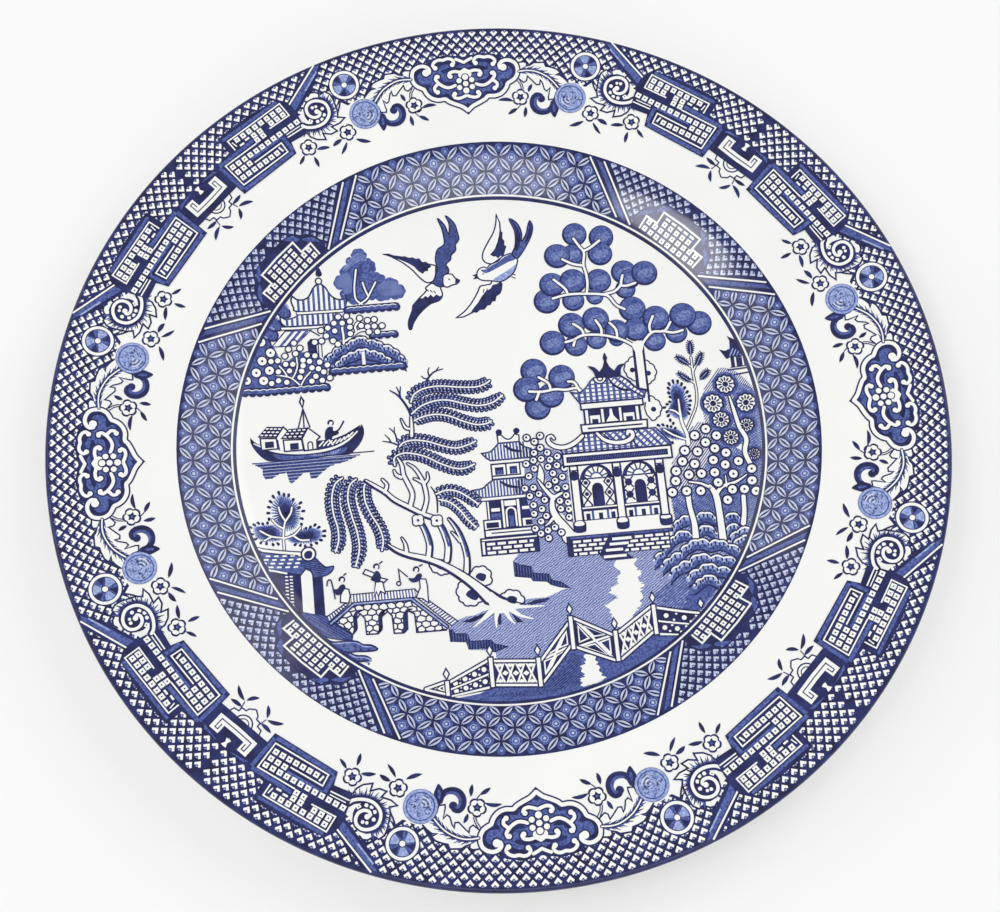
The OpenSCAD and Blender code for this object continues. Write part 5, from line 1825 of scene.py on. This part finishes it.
def garden_flowers(sheet):
    """The rosettes, the leafy twig and the feathered tree behind the house."""
    bed = smooth([(64.6, 14.6), (68, 16.8), (72.4, 14.8), (77, 8), (78, 0), (78, -8), (77, -13.6),
                  (72.4, -9.6), (70.6, -6.4), (67.4, -7.6), (64.6, -4.4), (61.6, -1), (60.8, 3),
                  (61.4, 9)], closed=True)
    sheet.blob(WASH, 0.5, [(70.6, 12), (77, 8), (78.6, 0), (77, -13.6), (72.4, -9.6), (70.6, -6.4),
                           (67.4, -7), (70.4, 2)])
    hatch(sheet, BLUE, 1, bed, 0.58, 0.27, 50)
    hatch(sheet, BLUE, 1, [(68, -4), (71, 6), (77, 8), (78, 0), (77, -13.6), (72.4, -9.6)], 0.7, 0.3, -40)
    sheet.curve(NAVY, 3, [(69.2, 7.6, 1.2), (70, 3, 1.8), (70.9, -2, 1.9), (72.4, -6, 2), (71.5, -10, 2),
                          (72.6, -14, 2)])
    sheet.curve(WHITE, 4, [(69.2, 7.6, 0.4), (70, 3, 0.9), (70.9, -2, 1.1), (72.4, -6, 1.2), (71.5, -10, 1.2),
                           (72.6, -14, 1.2)])
    for x, y, r in ((68.5, 11.5, 2.9), (64.1, 5.8, 3), (73.8, 5.1, 2.9), (65.8, 0.6, 2.6), (68, -5.1, 2.4),
                    (73, -1.8, 2.2), (74, -11, 1.9)):
        rosette(sheet, 3, x, y, r)
    stems(sheet, 1, [
        [(55.2, -1.6), (57, 1.6), (59, 5.6), (59.7, 10), (59.4, 15), (59.4, 21)],
        [(59.6, 16.6), (60.6, 18.4), (61.6, 20)],
        [(59.5, 12.6), (58, 14), (56.6, 15)],
        [(59.4, 17.6), (58.4, 18.6), (57.4, 19.8)],
    ], 0.4, 0.3)
    for leaf in ((59.4, 21.2, 59.7, 26.4, 2), (58.8, 18.4, 54.7, 21.8, 2), (60.4, 17.6, 63, 22.4, 2),
                 (58.7, 12.8, 54.6, 16.6, 1.8), (61, 13.4, 64.4, 16.6, 2)):
        fringed_leaf(sheet, 3, *leaf)
    bead_tree(
        sheet,
        [
            [(53.4, 13), (52, 11), (51.9, 8), (50.6, 4.6), (52.4, 2.4), (54.8, 1.4), (56.4, 3), (57, 7),
             (55.8, 11.6)],
            [(47.2, -0.4), (50, -0.6), (53.2, -1.6), (54.8, -4.4), (51, -4.2), (48, -2.4)],
        ],
        [
            (53.1, 14), (51.8, 13.3), (54.5, 13.8), (55.6, 12.9), (56.4, 11.6), (51.4, 11.9), (51.3, 10.4),
            (51.6, 9), (57, 10.2), (57.5, 8.8), (57.6, 7.3), (57.2, 5.9), (57, 4.6), (56.6, 3.3), (51.3, 7.5),
            (50.4, 6.8), (49.4, 5.8), (50.1, 4.4), (50.3, 3.1), (50.8, 1.9), (51.6, 0.8), (47, 0.6),
            (48.4, 0.6), (49.7, 0.1), (50.8, -0.2), (52, -0.8), (46.2, -0.9), (46.8, -2.3), (47.9, -3.6),
            (49.2, -4.6), (50.6, -5.3),
        ],
        [
            [(55.2, -6, 1.2), (55.2, -3, 0.9), (54.2, 0.6, 0.8), (54, 4, 0.6), (54, 8, 0.4)],
            [(54.2, 2.8), (52.6, 4.4), (51.2, 5)],
            [(54.8, -4.6), (51.4, -3), (48.6, -0.9)],
        ],
        1,
    )


def garden_trees(sheet):
    """The trees of round white flowers and their trunks."""
    bed = [(56, -1.5), (59, 0.5), (62.5, 0), (66, -6.5), (70, -9), (74.5, -13), (77, -13.6), (77, -20),
           (73.6, -28), (66, -36), (48.6, -30), (48, -24), (48.2, -18), (49.4, -12), (52.6, -8), (55, -7)]
    sheet.fill(WASH, 0.5, [(64, -4), (66, -6.5), (70, -9), (74.5, -13), (77, -13.6), (77, -20), (73.6, -28),
                           (66, -36), (48.6, -30), (48.2, -21), (55, -19), (60, -12)])
    hatch(sheet, BLUE, 1, bed, 0.62, 0.26, 50)
    hatch(sheet, BLUE, 1, [(62, -4), (66, -8), (76, -14), (77, -20), (73.6, -28), (66, -36), (48.6, -30),
                           (48.4, -24), (58, -22), (62, -14)], 0.55, 0.34, -35)
    stems(sheet, 4, [
        [(54, -17.6, 0.4), (57.4, -18.4, 0.6), (60.4, -20.2, 0.9)],
        [(61.4, -22, 1.2), (63.6, -19.8, 0.9), (67.6, -18.8, 0.7), (71, -17, 0.3)],
        [(64.8, -20, 0.6), (64.8, -16.6, 0.2)],
        [(53.2, -21, 1.5), (53.2, -25, 1.3), (53.9, -30, 1.5), (53.8, -34.4, 1.8)],
        [(59.8, -19.4, 1), (61.3, -22.4, 1.7), (61.6, -28, 1.7), (61.6, -35.6, 2)],
        [(69.2, -23.4, 1.2), (68.8, -28, 1.2), (68, -31.6, 1.4)],
    ], 1, 0.42)
    for x, y in (
        (60.9, -1.9), (57.4, -3.6), (63.8, -4.2), (60.3, -6), (53.9, -8), (57.6, -8.6), (62.8, -8.1),
        (65.9, -9.7), (52.8, -11.2), (56.3, -12.3), (61.9, -11.6), (65.2, -13.3), (69.2, -12.6), (50.6, -14),
        (54.2, -15.4), (57.9, -15.4), (61.8, -15.4), (67.2, -16.3), (72.7, -15.4), (50.1, -17), (48.7, -20.3),
        (52.9, -20.3), (57, -20.6), (62.4, -18.5), (72.3, -19), (66.3, -21), (69.8, -21.3), (64.5, -24),
        (73, -22.4),
    ):
        sheet.dot(NAVY, 6, x, y, 1.78, 20)
        sheet.dot(WHITE, 7, x, y, 1.24, 20)
        sheet.dot(NAVY, 8, x, y, 0.36, 8)


def garden_rocks(sheet):
    """The banks of rock down to the water, the farthest first."""
    for level, ridge in (
        (1, [(47.6, -30.4), (49.6, -28.4), (52.4, -27.5)]),
        (1, [(54.8, -27.8), (57.4, -26.9), (60.2, -28.6)]),
        (1, [(62.8, -29.4), (65, -27.8), (67.4, -29.4)]), (1, [(54.8, -32), (57, -30.8), (60, -33.4)]),
        (2, [(62.6, -33.6), (64.8, -31), (66.8, -32.4)]), (2, [(63.2, -36), (66, -33.4), (69.6, -33)]),
        (3, [(64, -38), (66.4, -35.6), (69, -35.4)]),
        (3, [(40.9, -39.6), (43.6, -37.6), (45.2, -35.4), (47.6, -33.2), (50.6, -31.9), (52.8, -33.6)]),
        (5, [(43, -41.6), (45.6, -39.6), (48.6, -38.2), (51.2, -36), (54.2, -34.9), (57.6, -36),
             (60.4, -35.7), (63, -37.2), (66.2, -39.8)]),
        (7, [(45, -44.4), (47.6, -42), (51, -41), (54, -39.3), (57.4, -40.4), (61, -40.8), (64.6, -42.6)]),
        (9, [(50, -45.6), (53.4, -43.6), (56.2, -42.3), (59, -43.8), (62.4, -44.9)]),
        (11, [(51.6, -48), (54, -46.4), (55.8, -45.6), (58.6, -47.8)]),
    ):
        crest(sheet, level, ridge, 3.2)


def far_pagoda(sheet):
    """The top of a distant pagoda at the edge of the picture."""
    sheet.fill(NAVY, 0, [(68, 22.6), (69.8, 21.9), (71.2, 22.4), (71.4, 24.8), (70.8, 26.4), (72.8, 25),
                         (74, 22), (75.4, 19.4), (69.8, 19.4), (69, 21)])
    hatch(sheet, PALE, 1, [(70, 20.2), (71.6, 22.6), (73.4, 21.6), (74.4, 19.8)], 0.9, 0.35, 60)
    sheet.fill(NAVY, 0, box(70.6, 16.4, 75.8, 19.4))
    for x in (70.8, 72.4, 74.6):
        sheet.line(WHITE, 1, [(x, 19.4), (x, 16.8)], 0.5)
    sheet.line(NAVY, 0, [(70, 15.9), (76.2, 15.9)], 0.5)
    sheet.line(NAVY, 0, [(71.6, 14.2), (76.4, 14.4)], 0.5)


def garden():
    """Everything at the right of the house."""
    sheet = Sheet()
    far_pagoda(sheet)
    trees, flowers = Sheet(), Sheet()
    garden_flowers(flowers)
    garden_trees(trees)
    sheet.add(flowers, lift=1)
    sheet.add(trees, lift=2)
    rocks = Sheet()
    garden_rocks(rocks)
    sheet.add(rocks, lift=2)
    return sheet


# ---------------------------------------------------------------- the water and the fence


def shore(sheet, outline):
    """A dark ragged shore of upright strokes."""
    sheet.fill(NAVY, 1, outline)
    hatch(sheet, BLUE, 2, outline, 0.8, 0.3, 90, 0.3)


def frayed(outline):
    """The outline with fine teeth to its sides, where engraved lines end unevenly."""
    tooth = 0.75
    made = []
    for (x0, y0), (x1, y1) in zip(outline, outline[1:] + outline[:1]):
        for t in steps(0, 1, max(1, round(math.dist((x0, y0), (x1, y1)) / 0.3))):
            x, y = x0 + (x1 - x0) * t, y0 + (y1 - y0) * t
            made.append((x + tooth * math.sin(21 * y) * math.cos(1.7 * y), y))
    return made


def water():
    """The water at the foot of the picture, with its shores and light glints."""
    sheet = Sheet()
    edge_r = 77.5
    outline = [
        (-19.8, -54.5), (-17, -52.4), (-14.5, -51.5), (-12, -51.4), (-9.5, -50.4), (-7, -50), (-2, -49),
        (0, -48.6), (4, -48), (9, -48), (12, -46.9), (14.5, -46), (16.3, -46.2), (13, -45), (10.4, -43.6),
        (6, -42.2), (0.4, -41), (0.4, -36.6), (2, -34.8), (5, -33.5), (8, -30.6), (10, -30), (16.8, -30.2),
        (16.8, -36), (46, -36), (48, -30), (60, -30),
    ]
    outline += arc(0, 0, edge_r, -24, -104, 60)
    outline += [(-12.6, -74.2), (-9, -72.4), (-9, -66), (-7, -64.4), (-7, -62), (-14.6, -61.2), (-15, -59),
                (-19.6, -58.4)]
    sheet.fill(WASH, 0, outline)
    low = [(-12.6, -74), (-9, -72.4), (4.8, -73.4), (14.4, -63.6), (27, -68.4), (38.6, -61.4), (47, -61)]
    sheet.fill(BLUE, 1, low + arc(0, 0, edge_r, -52.5, -104, 40))
    shore(sheet, [(0.4, -36.6), (0.4, -41.2), (5, -42), (5.5, -43), (9.5, -43.5), (10.5, -44.5), (13, -45.5),
                  (16.4, -46.2), (14, -44), (11, -43), (10.5, -41.2), (6, -40.5), (5.5, -38.5), (2.5, -37.8)])
    shore(sheet, [(-19.7, -54.8), (-19.6, -58.4), (-15.2, -58.8), (-14.6, -61), (-10, -61.2), (-7.2, -62.6),
                  (-3, -61.2), (-7, -60), (-8, -58.8), (-13.8, -58.6), (-14.5, -56.4), (-18, -56),
                  (-18.6, -54.8)])
    for patch in ([(-16, -53), (-12, -51.8), (-8, -50.6), (-9.4, -52), (-13, -53.4)],
                  [(3, -49.4), (6, -48.4), (10.4, -48.2), (8, -49.4), (4.6, -49.8)],
                  [(-6, -51.6), (-4.4, -51.4), (-4.6, -54.6), (-5.4, -54.8)],
                  [(-1.6, -51.4), (1.8, -54.6), (-0.2, -54.6)]):
        sheet.fill(NAVY, 1, patch)
    hatch(sheet, BLUE, 1, [(40, -50), (46, -45), (60, -44), (60, -48), (50, -58), (41, -55)], 0.62, 0.34, 35)
    sheet.fill(BLUE, 2, frayed([(50, -50), (54, -46.6), (60, -46), (60, -48), (50, -58), (47, -56)]))
    hatch(sheet, NAVY, 2, [(-12, -75), (6, -73.8), (15, -65), (17, -66), (16, -74), (2, -76.2)], 0.6, 0.2, 35)
    glint = [
        (29.4, -39), (30, -41.4), (30.6, -43.2), (29.2, -44.2), (29.8, -45.9), (27.6, -47), (26.8, -48.3),
        (29.3, -49.6), (28.3, -50.5), (25.7, -51.8), (26.3, -53.6), (27.6, -55.4), (28, -58), (29.4, -59.2),
        (32.8, -57.2), (33.8, -54.6), (35.6, -52.6), (36.4, -50.7), (35.9, -48.6), (37.3, -47), (35.8, -45.5),
        (36.9, -43.3), (35.6, -41.7), (35.6, -39),
    ]
    small_glint = [
        (17.9, -65.3), (18.1, -67), (16.8, -69), (17.5, -71.2), (15.8, -73), (16.6, -74.8), (21, -74),
        (23.2, -72.8), (22, -71), (21.8, -69), (20.6, -67.2), (20.8, -66),
    ]
    sheet.fill(WHITE, 3, frayed(glint))
    sheet.fill(WHITE, 3, frayed(small_glint))
    return sheet


def rail_panel(sheet, level, low, high, filling):
    """A panel of the fence between a low rail and a high one, with its filling."""

    def place(u, v):
        """The point at these shares of the way along and up the panel."""
        return tuple((1 - v) * (low[0][k] * (1 - u) + low[1][k] * u)
                     + v * (high[0][k] * (1 - u) + high[1][k] * u)
                     for k in (0, 1))

    sheet.fill(NAVY, level, [low[0], low[1], high[1], high[0]])
    width = math.dist(*low)
    count = max(2, round(width / (3.3 if filling == "diamonds" else 2.7)))
    if filling == "rings":
        for u in steps(0.5 / count, 1 + 0.5 / count, count):
            for v in (0.27, 0.75):
                sheet.dot(WHITE, level + 1, *place(u, v), 0.72, 10)
            for v in (0.15, 0.4, 0.62, 0.88):
                sheet.dot(WHITE, level + 1, *place(u + 0.5 / count, v), 0.36, 8)
        sheet.line(NAVY, level + 2, [place(0, 0.5), place(1, 0.5)], 1.1)
        sheet.line(WHITE, level + 3, [place(0, 0.5), place(1, 0.5)], 0.5)
    elif filling == "diamonds":
        for i in range(count):
            a, b = i / count, (i + 1) / count
            sheet.line(WHITE, level + 1, [place(a, 0), place(b, 1)], 0.55)
            sheet.line(WHITE, level + 1, [place(b, 0), place(a, 1)], 0.55)
            for u, v in ((a + 0.5 / count, 0.16), (a + 0.5 / count, 0.84), (a, 0.5)):
                x, y = place(u, v)
                if 0 < u:
                    sheet.fill(WHITE, level + 1, [(x - 0.95, y), (x, y - 0.75), (x + 0.95, y), (x, y + 0.75)])
    else:
        for start, end in (((0, 0), (1, 1)), ((0, 1), (1, 0))):
            sheet.line(WHITE, level + 1, [place(*start), place(*end)], 0.6)
        for points in ([(0.2, 0.11), (0.8, 0.11), (0.5, 0.36)], [(0.2, 0.89), (0.8, 0.89), (0.5, 0.64)],
                       [(0.1, 0.22), (0.1, 0.78), (0.36, 0.5)], [(0.9, 0.22), (0.9, 0.78), (0.64, 0.5)]):
            sheet.line(WHITE, level + 1, [place(u, v) for u, v in points + points[:1]], 0.42)
    for line in (low, high):
        sheet.line(NAVY, level + 2, line, 1.5)
        sheet.line(WHITE, level + 3, line, 0.65)


def fence():
    """The zig-zag fence in front of the water."""
    sheet = Sheet()
    rail_panel(sheet, 0, [(-27.6, -71.6), (-22, -73.4)], [(-27.6, -71.4), (-22, -69.8)], "fret")
    rail_panel(sheet, 0, [(-20.4, -74.2), (-9.4, -72.4)], [(-20.6, -69.9), (-9.4, -64.7)], "rings")
    rail_panel(sheet, 0, [(-7.8, -71.9), (4, -73)], [(-7.8, -65), (4, -66)], "diamonds")
    rail_panel(sheet, 0, [(5.6, -72.4), (14.4, -62.6)], [(5.6, -66), (14.4, -56)], "fret")
    rail_panel(sheet, 0, [(15.9, -63.2), (26.6, -68)], [(15.9, -54.8), (26.6, -60.6)], "fret")
    rail_panel(sheet, 0, [(28.3, -67.9), (38.3, -60.8)], [(28.3, -60), (38.3, -53.4)], "diamonds")
    rail_panel(sheet, 0, [(39.9, -61.7), (45, -62.6)], [(39.9, -53.9), (51.6, -56.8)], "rings")
    for x, low, high in (
        (-21.5, -74.2, -69.4), (-8.7, -72.6, -63.8), (4.8, -73.7, -65), (15.1, -63.9, -54),
        (27.4, -68.5, -59.3), (39.1, -61.8, -52.8),
    ):
        edged(sheet, WHITE, 4, box(x - 0.72, low, x + 0.72, high), 0.42)
        finial(sheet, x, high + 1.9)
    finial(sheet, 52.6, -54)
    return sheet


def finial(sheet, x, y):
    """The pointed knob of a fence post."""
    edged(sheet, WHITE, 4, [(x, y + 1.6), (x + 0.85, y), (x, y - 1.6), (x - 0.85, y)], 0.42)


def picture():
    """The groups of the middle picture by name."""
    rng = random.Random(5)
    land, far, house, front, right = Sheet(), Sheet(), Sheet(), Sheet(), Sheet()
    land.add(water())
    far.add(island())
    left_dove(far)
    right_dove(far)
    far.add(boat())
    house.add(ball_tree())
    house.add(pagoda())
    house.add(fruit_tree(), lift=5)
    house.add(teahouse(), lift=11)
    front.add(left_tree())
    front.add(gatehouse(), lift=4)
    front.add(bridge(rng), lift=5)
    front.add(willow(), lift=3)
    front.add(figures(), lift=4)
    front.add(fence(), lift=4)
    right.add(garden(), lift=3)
    groups = {"water": land, "island": far, "house": house, "bridge": front, "garden": right}
    for sheet in groups.values():
        sheet.keep_within(BAND_IN_R + 0.05)
    return groups


# ---------------------------------------------------------------- materials


def node(tree, kind, **values):
    """A shader node, with its properties and its inputs' values set by name."""
    made = tree.nodes.new(kind)
    for name, value in values.items():
        if name in made.inputs:
            made.inputs[name].default_value = value
        else:
            setattr(made, name, value)
    return made


def noise(tree, scale, detail=3.0):
    """Noise in the plate's own coordinates, with so many waves a metre."""
    place = node(tree, "ShaderNodeTexCoord")
    texture = node(tree, "ShaderNodeTexNoise", Scale=scale, Detail=detail)
    tree.links.new(place.outputs["Object"], texture.inputs["Vector"])
    return texture.outputs["Fac"]


def ramp(tree, source, stops):
    """Colours along a value: each stop is its place and its colour."""
    made = tree.nodes.new("ShaderNodeValToRGB")
    made.color_ramp.elements[0].position = stops[0][0]
    made.color_ramp.elements[0].color = (*stops[0][1], 1)
    made.color_ramp.elements[1].position = stops[-1][0]
    made.color_ramp.elements[1].color = (*stops[-1][1], 1)
    for position, colour in stops[1:-1]:
        made.color_ramp.elements.new(position).color = (*colour, 1)
    tree.links.new(source, made.inputs["Fac"])
    return made.outputs["Color"]


def glazed(name, roughness=0.1):
    """A material with a slightly uneven glaze, its tree and its shader, still without a colour."""
    material = bpy.data.materials.new(name)
    material.use_nodes = True
    tree = material.node_tree
    shader = tree.nodes["Principled BSDF"]
    shader.inputs["Roughness"].default_value = roughness
    shader.inputs["IOR"].default_value = 1.5
    bump = node(tree, "ShaderNodeBump", Strength=0.25, Distance=0.0004)
    tree.links.new(noise(tree, 45, 1.0), bump.inputs["Height"])
    tree.links.new(bump.outputs["Normal"], shader.inputs["Normal"])
    return material, tree, shader


def glossy(name, stops, scale, detail=3.0, roughness=0.1):
    """A glazed surface whose colour wanders between stops."""
    material, tree, shader = glazed(name, roughness)
    tree.links.new(ramp(tree, noise(tree, scale, detail), stops), shader.inputs["Base Color"])
    return material


WAVE_LENGTH = 0.314  # between the lines of a wave texture of scale 1, in metres


def engraved(name, dark, light, period, lean):
    """A tint of fine engraved lines so many millimetres apart, at a lean in degrees."""
    material, tree, shader = glazed(name)
    place = node(tree, "ShaderNodeTexCoord")
    turned = node(tree, "ShaderNodeMapping", Rotation=(0, 0, math.radians(lean)))
    lines = node(tree, "ShaderNodeTexWave", Scale=WAVE_LENGTH / (period * MM), Distortion=4.5)
    lines.inputs["Detail Scale"].default_value = 1.8
    tree.links.new(place.outputs["Object"], turned.inputs["Vector"])
    tree.links.new(turned.outputs["Vector"], lines.inputs["Vector"])
    mottled = node(tree, "ShaderNodeMath", operation="MULTIPLY_ADD")
    mottled.inputs[1].default_value = -0.8
    tree.links.new(noise(tree, 1300), mottled.inputs[0])
    tree.links.new(lines.outputs["Fac"], mottled.inputs[2])
    stops = [(0.0, dark), (0.36, light)]
    tree.links.new(ramp(tree, mottled.outputs["Value"], stops), shader.inputs["Base Color"])
    return material


INK = {
    NAVY: glossy("ink_navy", [(0.35, (0.006, 0.007, 0.055)), (0.7, (0.017, 0.026, 0.14))], 260),
    BLUE: glossy("ink_blue", [(0.36, (0.03, 0.048, 0.21)), (0.64, (0.1, 0.145, 0.4))], 1500),
    WASH: engraved("ink_wash", (0.1, 0.14, 0.38), (0.44, 0.48, 0.68), period=0.62, lean=55),
    PALE: glossy("ink_pale", [(0.36, (0.18, 0.24, 0.52)), (0.64, (0.4, 0.48, 0.74))], 1500),
    MIST: glossy("ink_mist", [(0.36, (0.42, 0.47, 0.68)), (0.64, (0.6, 0.65, 0.79))], 700),
    WHITE: glossy("glaze_white", [(0.3, (0.84, 0.845, 0.83)), (0.7, (0.88, 0.88, 0.855))], 30),
}


# ---------------------------------------------------------------- the glazed surface


def lathe(name, profile, material):
    """A turned surface through a profile of (radius, height) points, from the axis or its rim."""
    turns = 288
    verts, faces = [], []
    for r, z in profile:
        for i in range(turns):
            a = 2 * math.pi * i / turns
            verts.append((r * math.cos(a) * MM, r * math.sin(a) * MM, z * MM))
    for k in range(len(profile) - 1):
        for i in range(turns):
            j = (i + 1) % turns
            faces.append((k * turns + i, (k + 1) * turns + i, (k + 1) * turns + j, k * turns + j))
    mesh = bpy.data.meshes.new(name)
    mesh.from_pydata(verts, [], faces)
    bm = bmesh.new()
    bm.from_mesh(mesh)
    bmesh.ops.remove_doubles(bm, verts=bm.verts, dist=1e-7)
    bm.to_mesh(mesh)
    bm.free()
    mesh.shade_smooth()
    mesh.materials.append(material)
    piece = bpy.data.objects.new(name, mesh)
    bpy.context.scene.collection.objects.link(piece)
    return piece


def glaze_profile():
    """The outline of the glazed coat: the front, round the lip and down to the foot ring."""
    front = [0.0, 30.0, 60.0] + steps(WELL_R - 2, SHOULDER_R + 2, 40)
    front += steps(SHOULDER_R + 2, LIP_X, 8) + [LIP_X]
    lean = math.degrees(math.atan(RIM_SLOPE))
    lip = [
        (LIP_X + LIP_R * math.cos(math.radians(a)), LIP_Z + LIP_R * math.sin(math.radians(a)))
        for a in steps(90 + lean, lean - 90, 14)[1:]
    ]
    back = [
        (r, front_z(r) - wall(r))
        for r in reversed(steps(FOOT_ROOT_R, SHOULDER_R + 2, 30) + steps(SHOULDER_R + 2, LIP_X - 1, 8))
    ]
    foot = [(FOOT_R + 1.1, GLAZE_LOW_Z + 1.2), (FOOT_R + 0.5, GLAZE_LOW_Z)]
    return [(r, front_z(r)) for r in front] + lip + back + foot


def plate_pieces():
    """The glazed surface, the bare foot and the glazed recess."""
    glaze = lathe("glaze_front_and_back", glaze_profile(), INK[WHITE])
    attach(glaze, "root")
    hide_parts("glaze_coat")
    biscuit = glossy("bare_biscuit", [(0.3, (0.62, 0.55, 0.43)), (0.7, (0.78, 0.72, 0.6))], 900, 6.0, 0.75)
    for name, material in (("body", biscuit), ("glaze_recess", INK[WHITE])):
        slots = frame["nodes"][name].material_slots
        for slot in slots:
            slot.material = material


def lip_line():
    """The cobalt line round the lip, a little proud of the glaze."""
    low, high = math.radians(-10), math.radians(82)
    r = LIP_R + 0.06
    profile = [(LIP_X + r * math.cos(a), LIP_Z + r * math.sin(a)) for a in steps(high, low, 8) + [low]]
    line = lathe("lip_line", profile, INK[NAVY])
    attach(line, "root")
    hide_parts("edge_line")


# ---------------------------------------------------------------- camera, lights and floor

CAMERA_ELEVATION = 72.81
CAMERA_AZIMUTH = -8.01
CAMERA_DISTANCE = 522.5
CAMERA_ROLL = 2.72
CAMERA_TARGET = (0.0, -2.4, 0.0)
CAMERA_LENS = 63.2


def set_camera():
    """The camera looks down on the plate from in front."""
    e, a, roll = (math.radians(v) for v in (CAMERA_ELEVATION, CAMERA_AZIMUTH, CAMERA_ROLL))
    back = Vector((math.sin(a) * math.cos(e), -math.cos(a) * math.cos(e), math.sin(e)))
    right = (-back).cross(Vector((0, 0, 1))).normalized()
    up = right.cross(-back)
    tilted_right = right * math.cos(roll) + up * math.sin(roll)
    tilted_up = up * math.cos(roll) - right * math.sin(roll)
    data = bpy.data.cameras.new("camera")
    data.lens = CAMERA_LENS
    data.sensor_width = 36
    data.clip_start, data.clip_end = 0.01, 20
    camera = bpy.data.objects.new("camera", data)
    camera.matrix_world = Matrix((tilted_right, tilted_up, back)).transposed().to_4x4()
    camera.location = (Vector(CAMERA_TARGET) + back * CAMERA_DISTANCE) * MM
    bpy.context.scene.collection.objects.link(camera)
    bpy.context.scene.camera = camera


def softbox(name, place, size, power):
    """An area light aimed at the plate, so many metres wide and deep."""
    data = bpy.data.lights.new(name, "AREA")
    data.shape = "RECTANGLE"
    data.size, data.size_y = size
    data.energy = power
    lamp = bpy.data.objects.new(name, data)
    lamp.location = place
    lamp.rotation_euler = (-Vector(place)).to_track_quat("-Z", "Y").to_euler()
    bpy.context.scene.collection.objects.link(lamp)


def set_stage():
    """A plain pale floor under plain soft light."""
    floor_material = bpy.data.materials.new("floor")
    floor_material.use_nodes = True
    shader = floor_material.node_tree.nodes["Principled BSDF"]
    shader.inputs["Base Color"].default_value = (0.75, 0.75, 0.75, 1)
    shader.inputs["Roughness"].default_value = 0.9
    shader.inputs["Emission Color"].default_value = (1, 1, 1, 1)
    shader.inputs["Emission Strength"].default_value = 0.14
    mesh = bpy.data.meshes.new("floor")
    mesh.from_pydata([(-3, -3, 0), (3, -3, 0), (3, 3, 0), (-3, 3, 0)], [], [(0, 1, 2, 3)])
    mesh.materials.append(floor_material)
    floor = bpy.data.objects.new("floor", mesh)
    bpy.context.scene.collection.objects.link(floor)
    world = bpy.data.worlds.new("studio")
    bpy.context.scene.world = world
    world.use_nodes = True
    world.node_tree.nodes["Background"].inputs["Color"].default_value = (1, 1, 1, 1)
    world.node_tree.nodes["Background"].inputs["Strength"].default_value = 0.57
    softbox("light_left", (-1.1, 0.5, 1.2), (1.3, 1.3), 6)
    softbox("light_right", (1.1, 0.7, 1.2), (1.3, 1.3), 8)
    softbox("light_front", (0.1, -1.2, 1.1), (1.4, 0.9), 4.2)
    softbox("light_window", (-0.48, -0.16, 1.17), (0.34, 0.25), 1.7)
    softbox("light_bench", (0.05, -0.4, 1.34), (0.55, 0.25), 1.3)
    bpy.context.scene.view_settings.view_transform = "Standard"


# ---------------------------------------------------------------- putting it together

set_camera()
set_stage()
plate_pieces()
lay("border", rim_border(), INK, ["border_print"])
lay("band", shoulder_band(), INK, ["band_print"])
lip_line()
for order, (name, sheet) in enumerate(picture().items()):
    lay(f"picture_{name}", sheet, INK, [] if order else ["picture_print"])
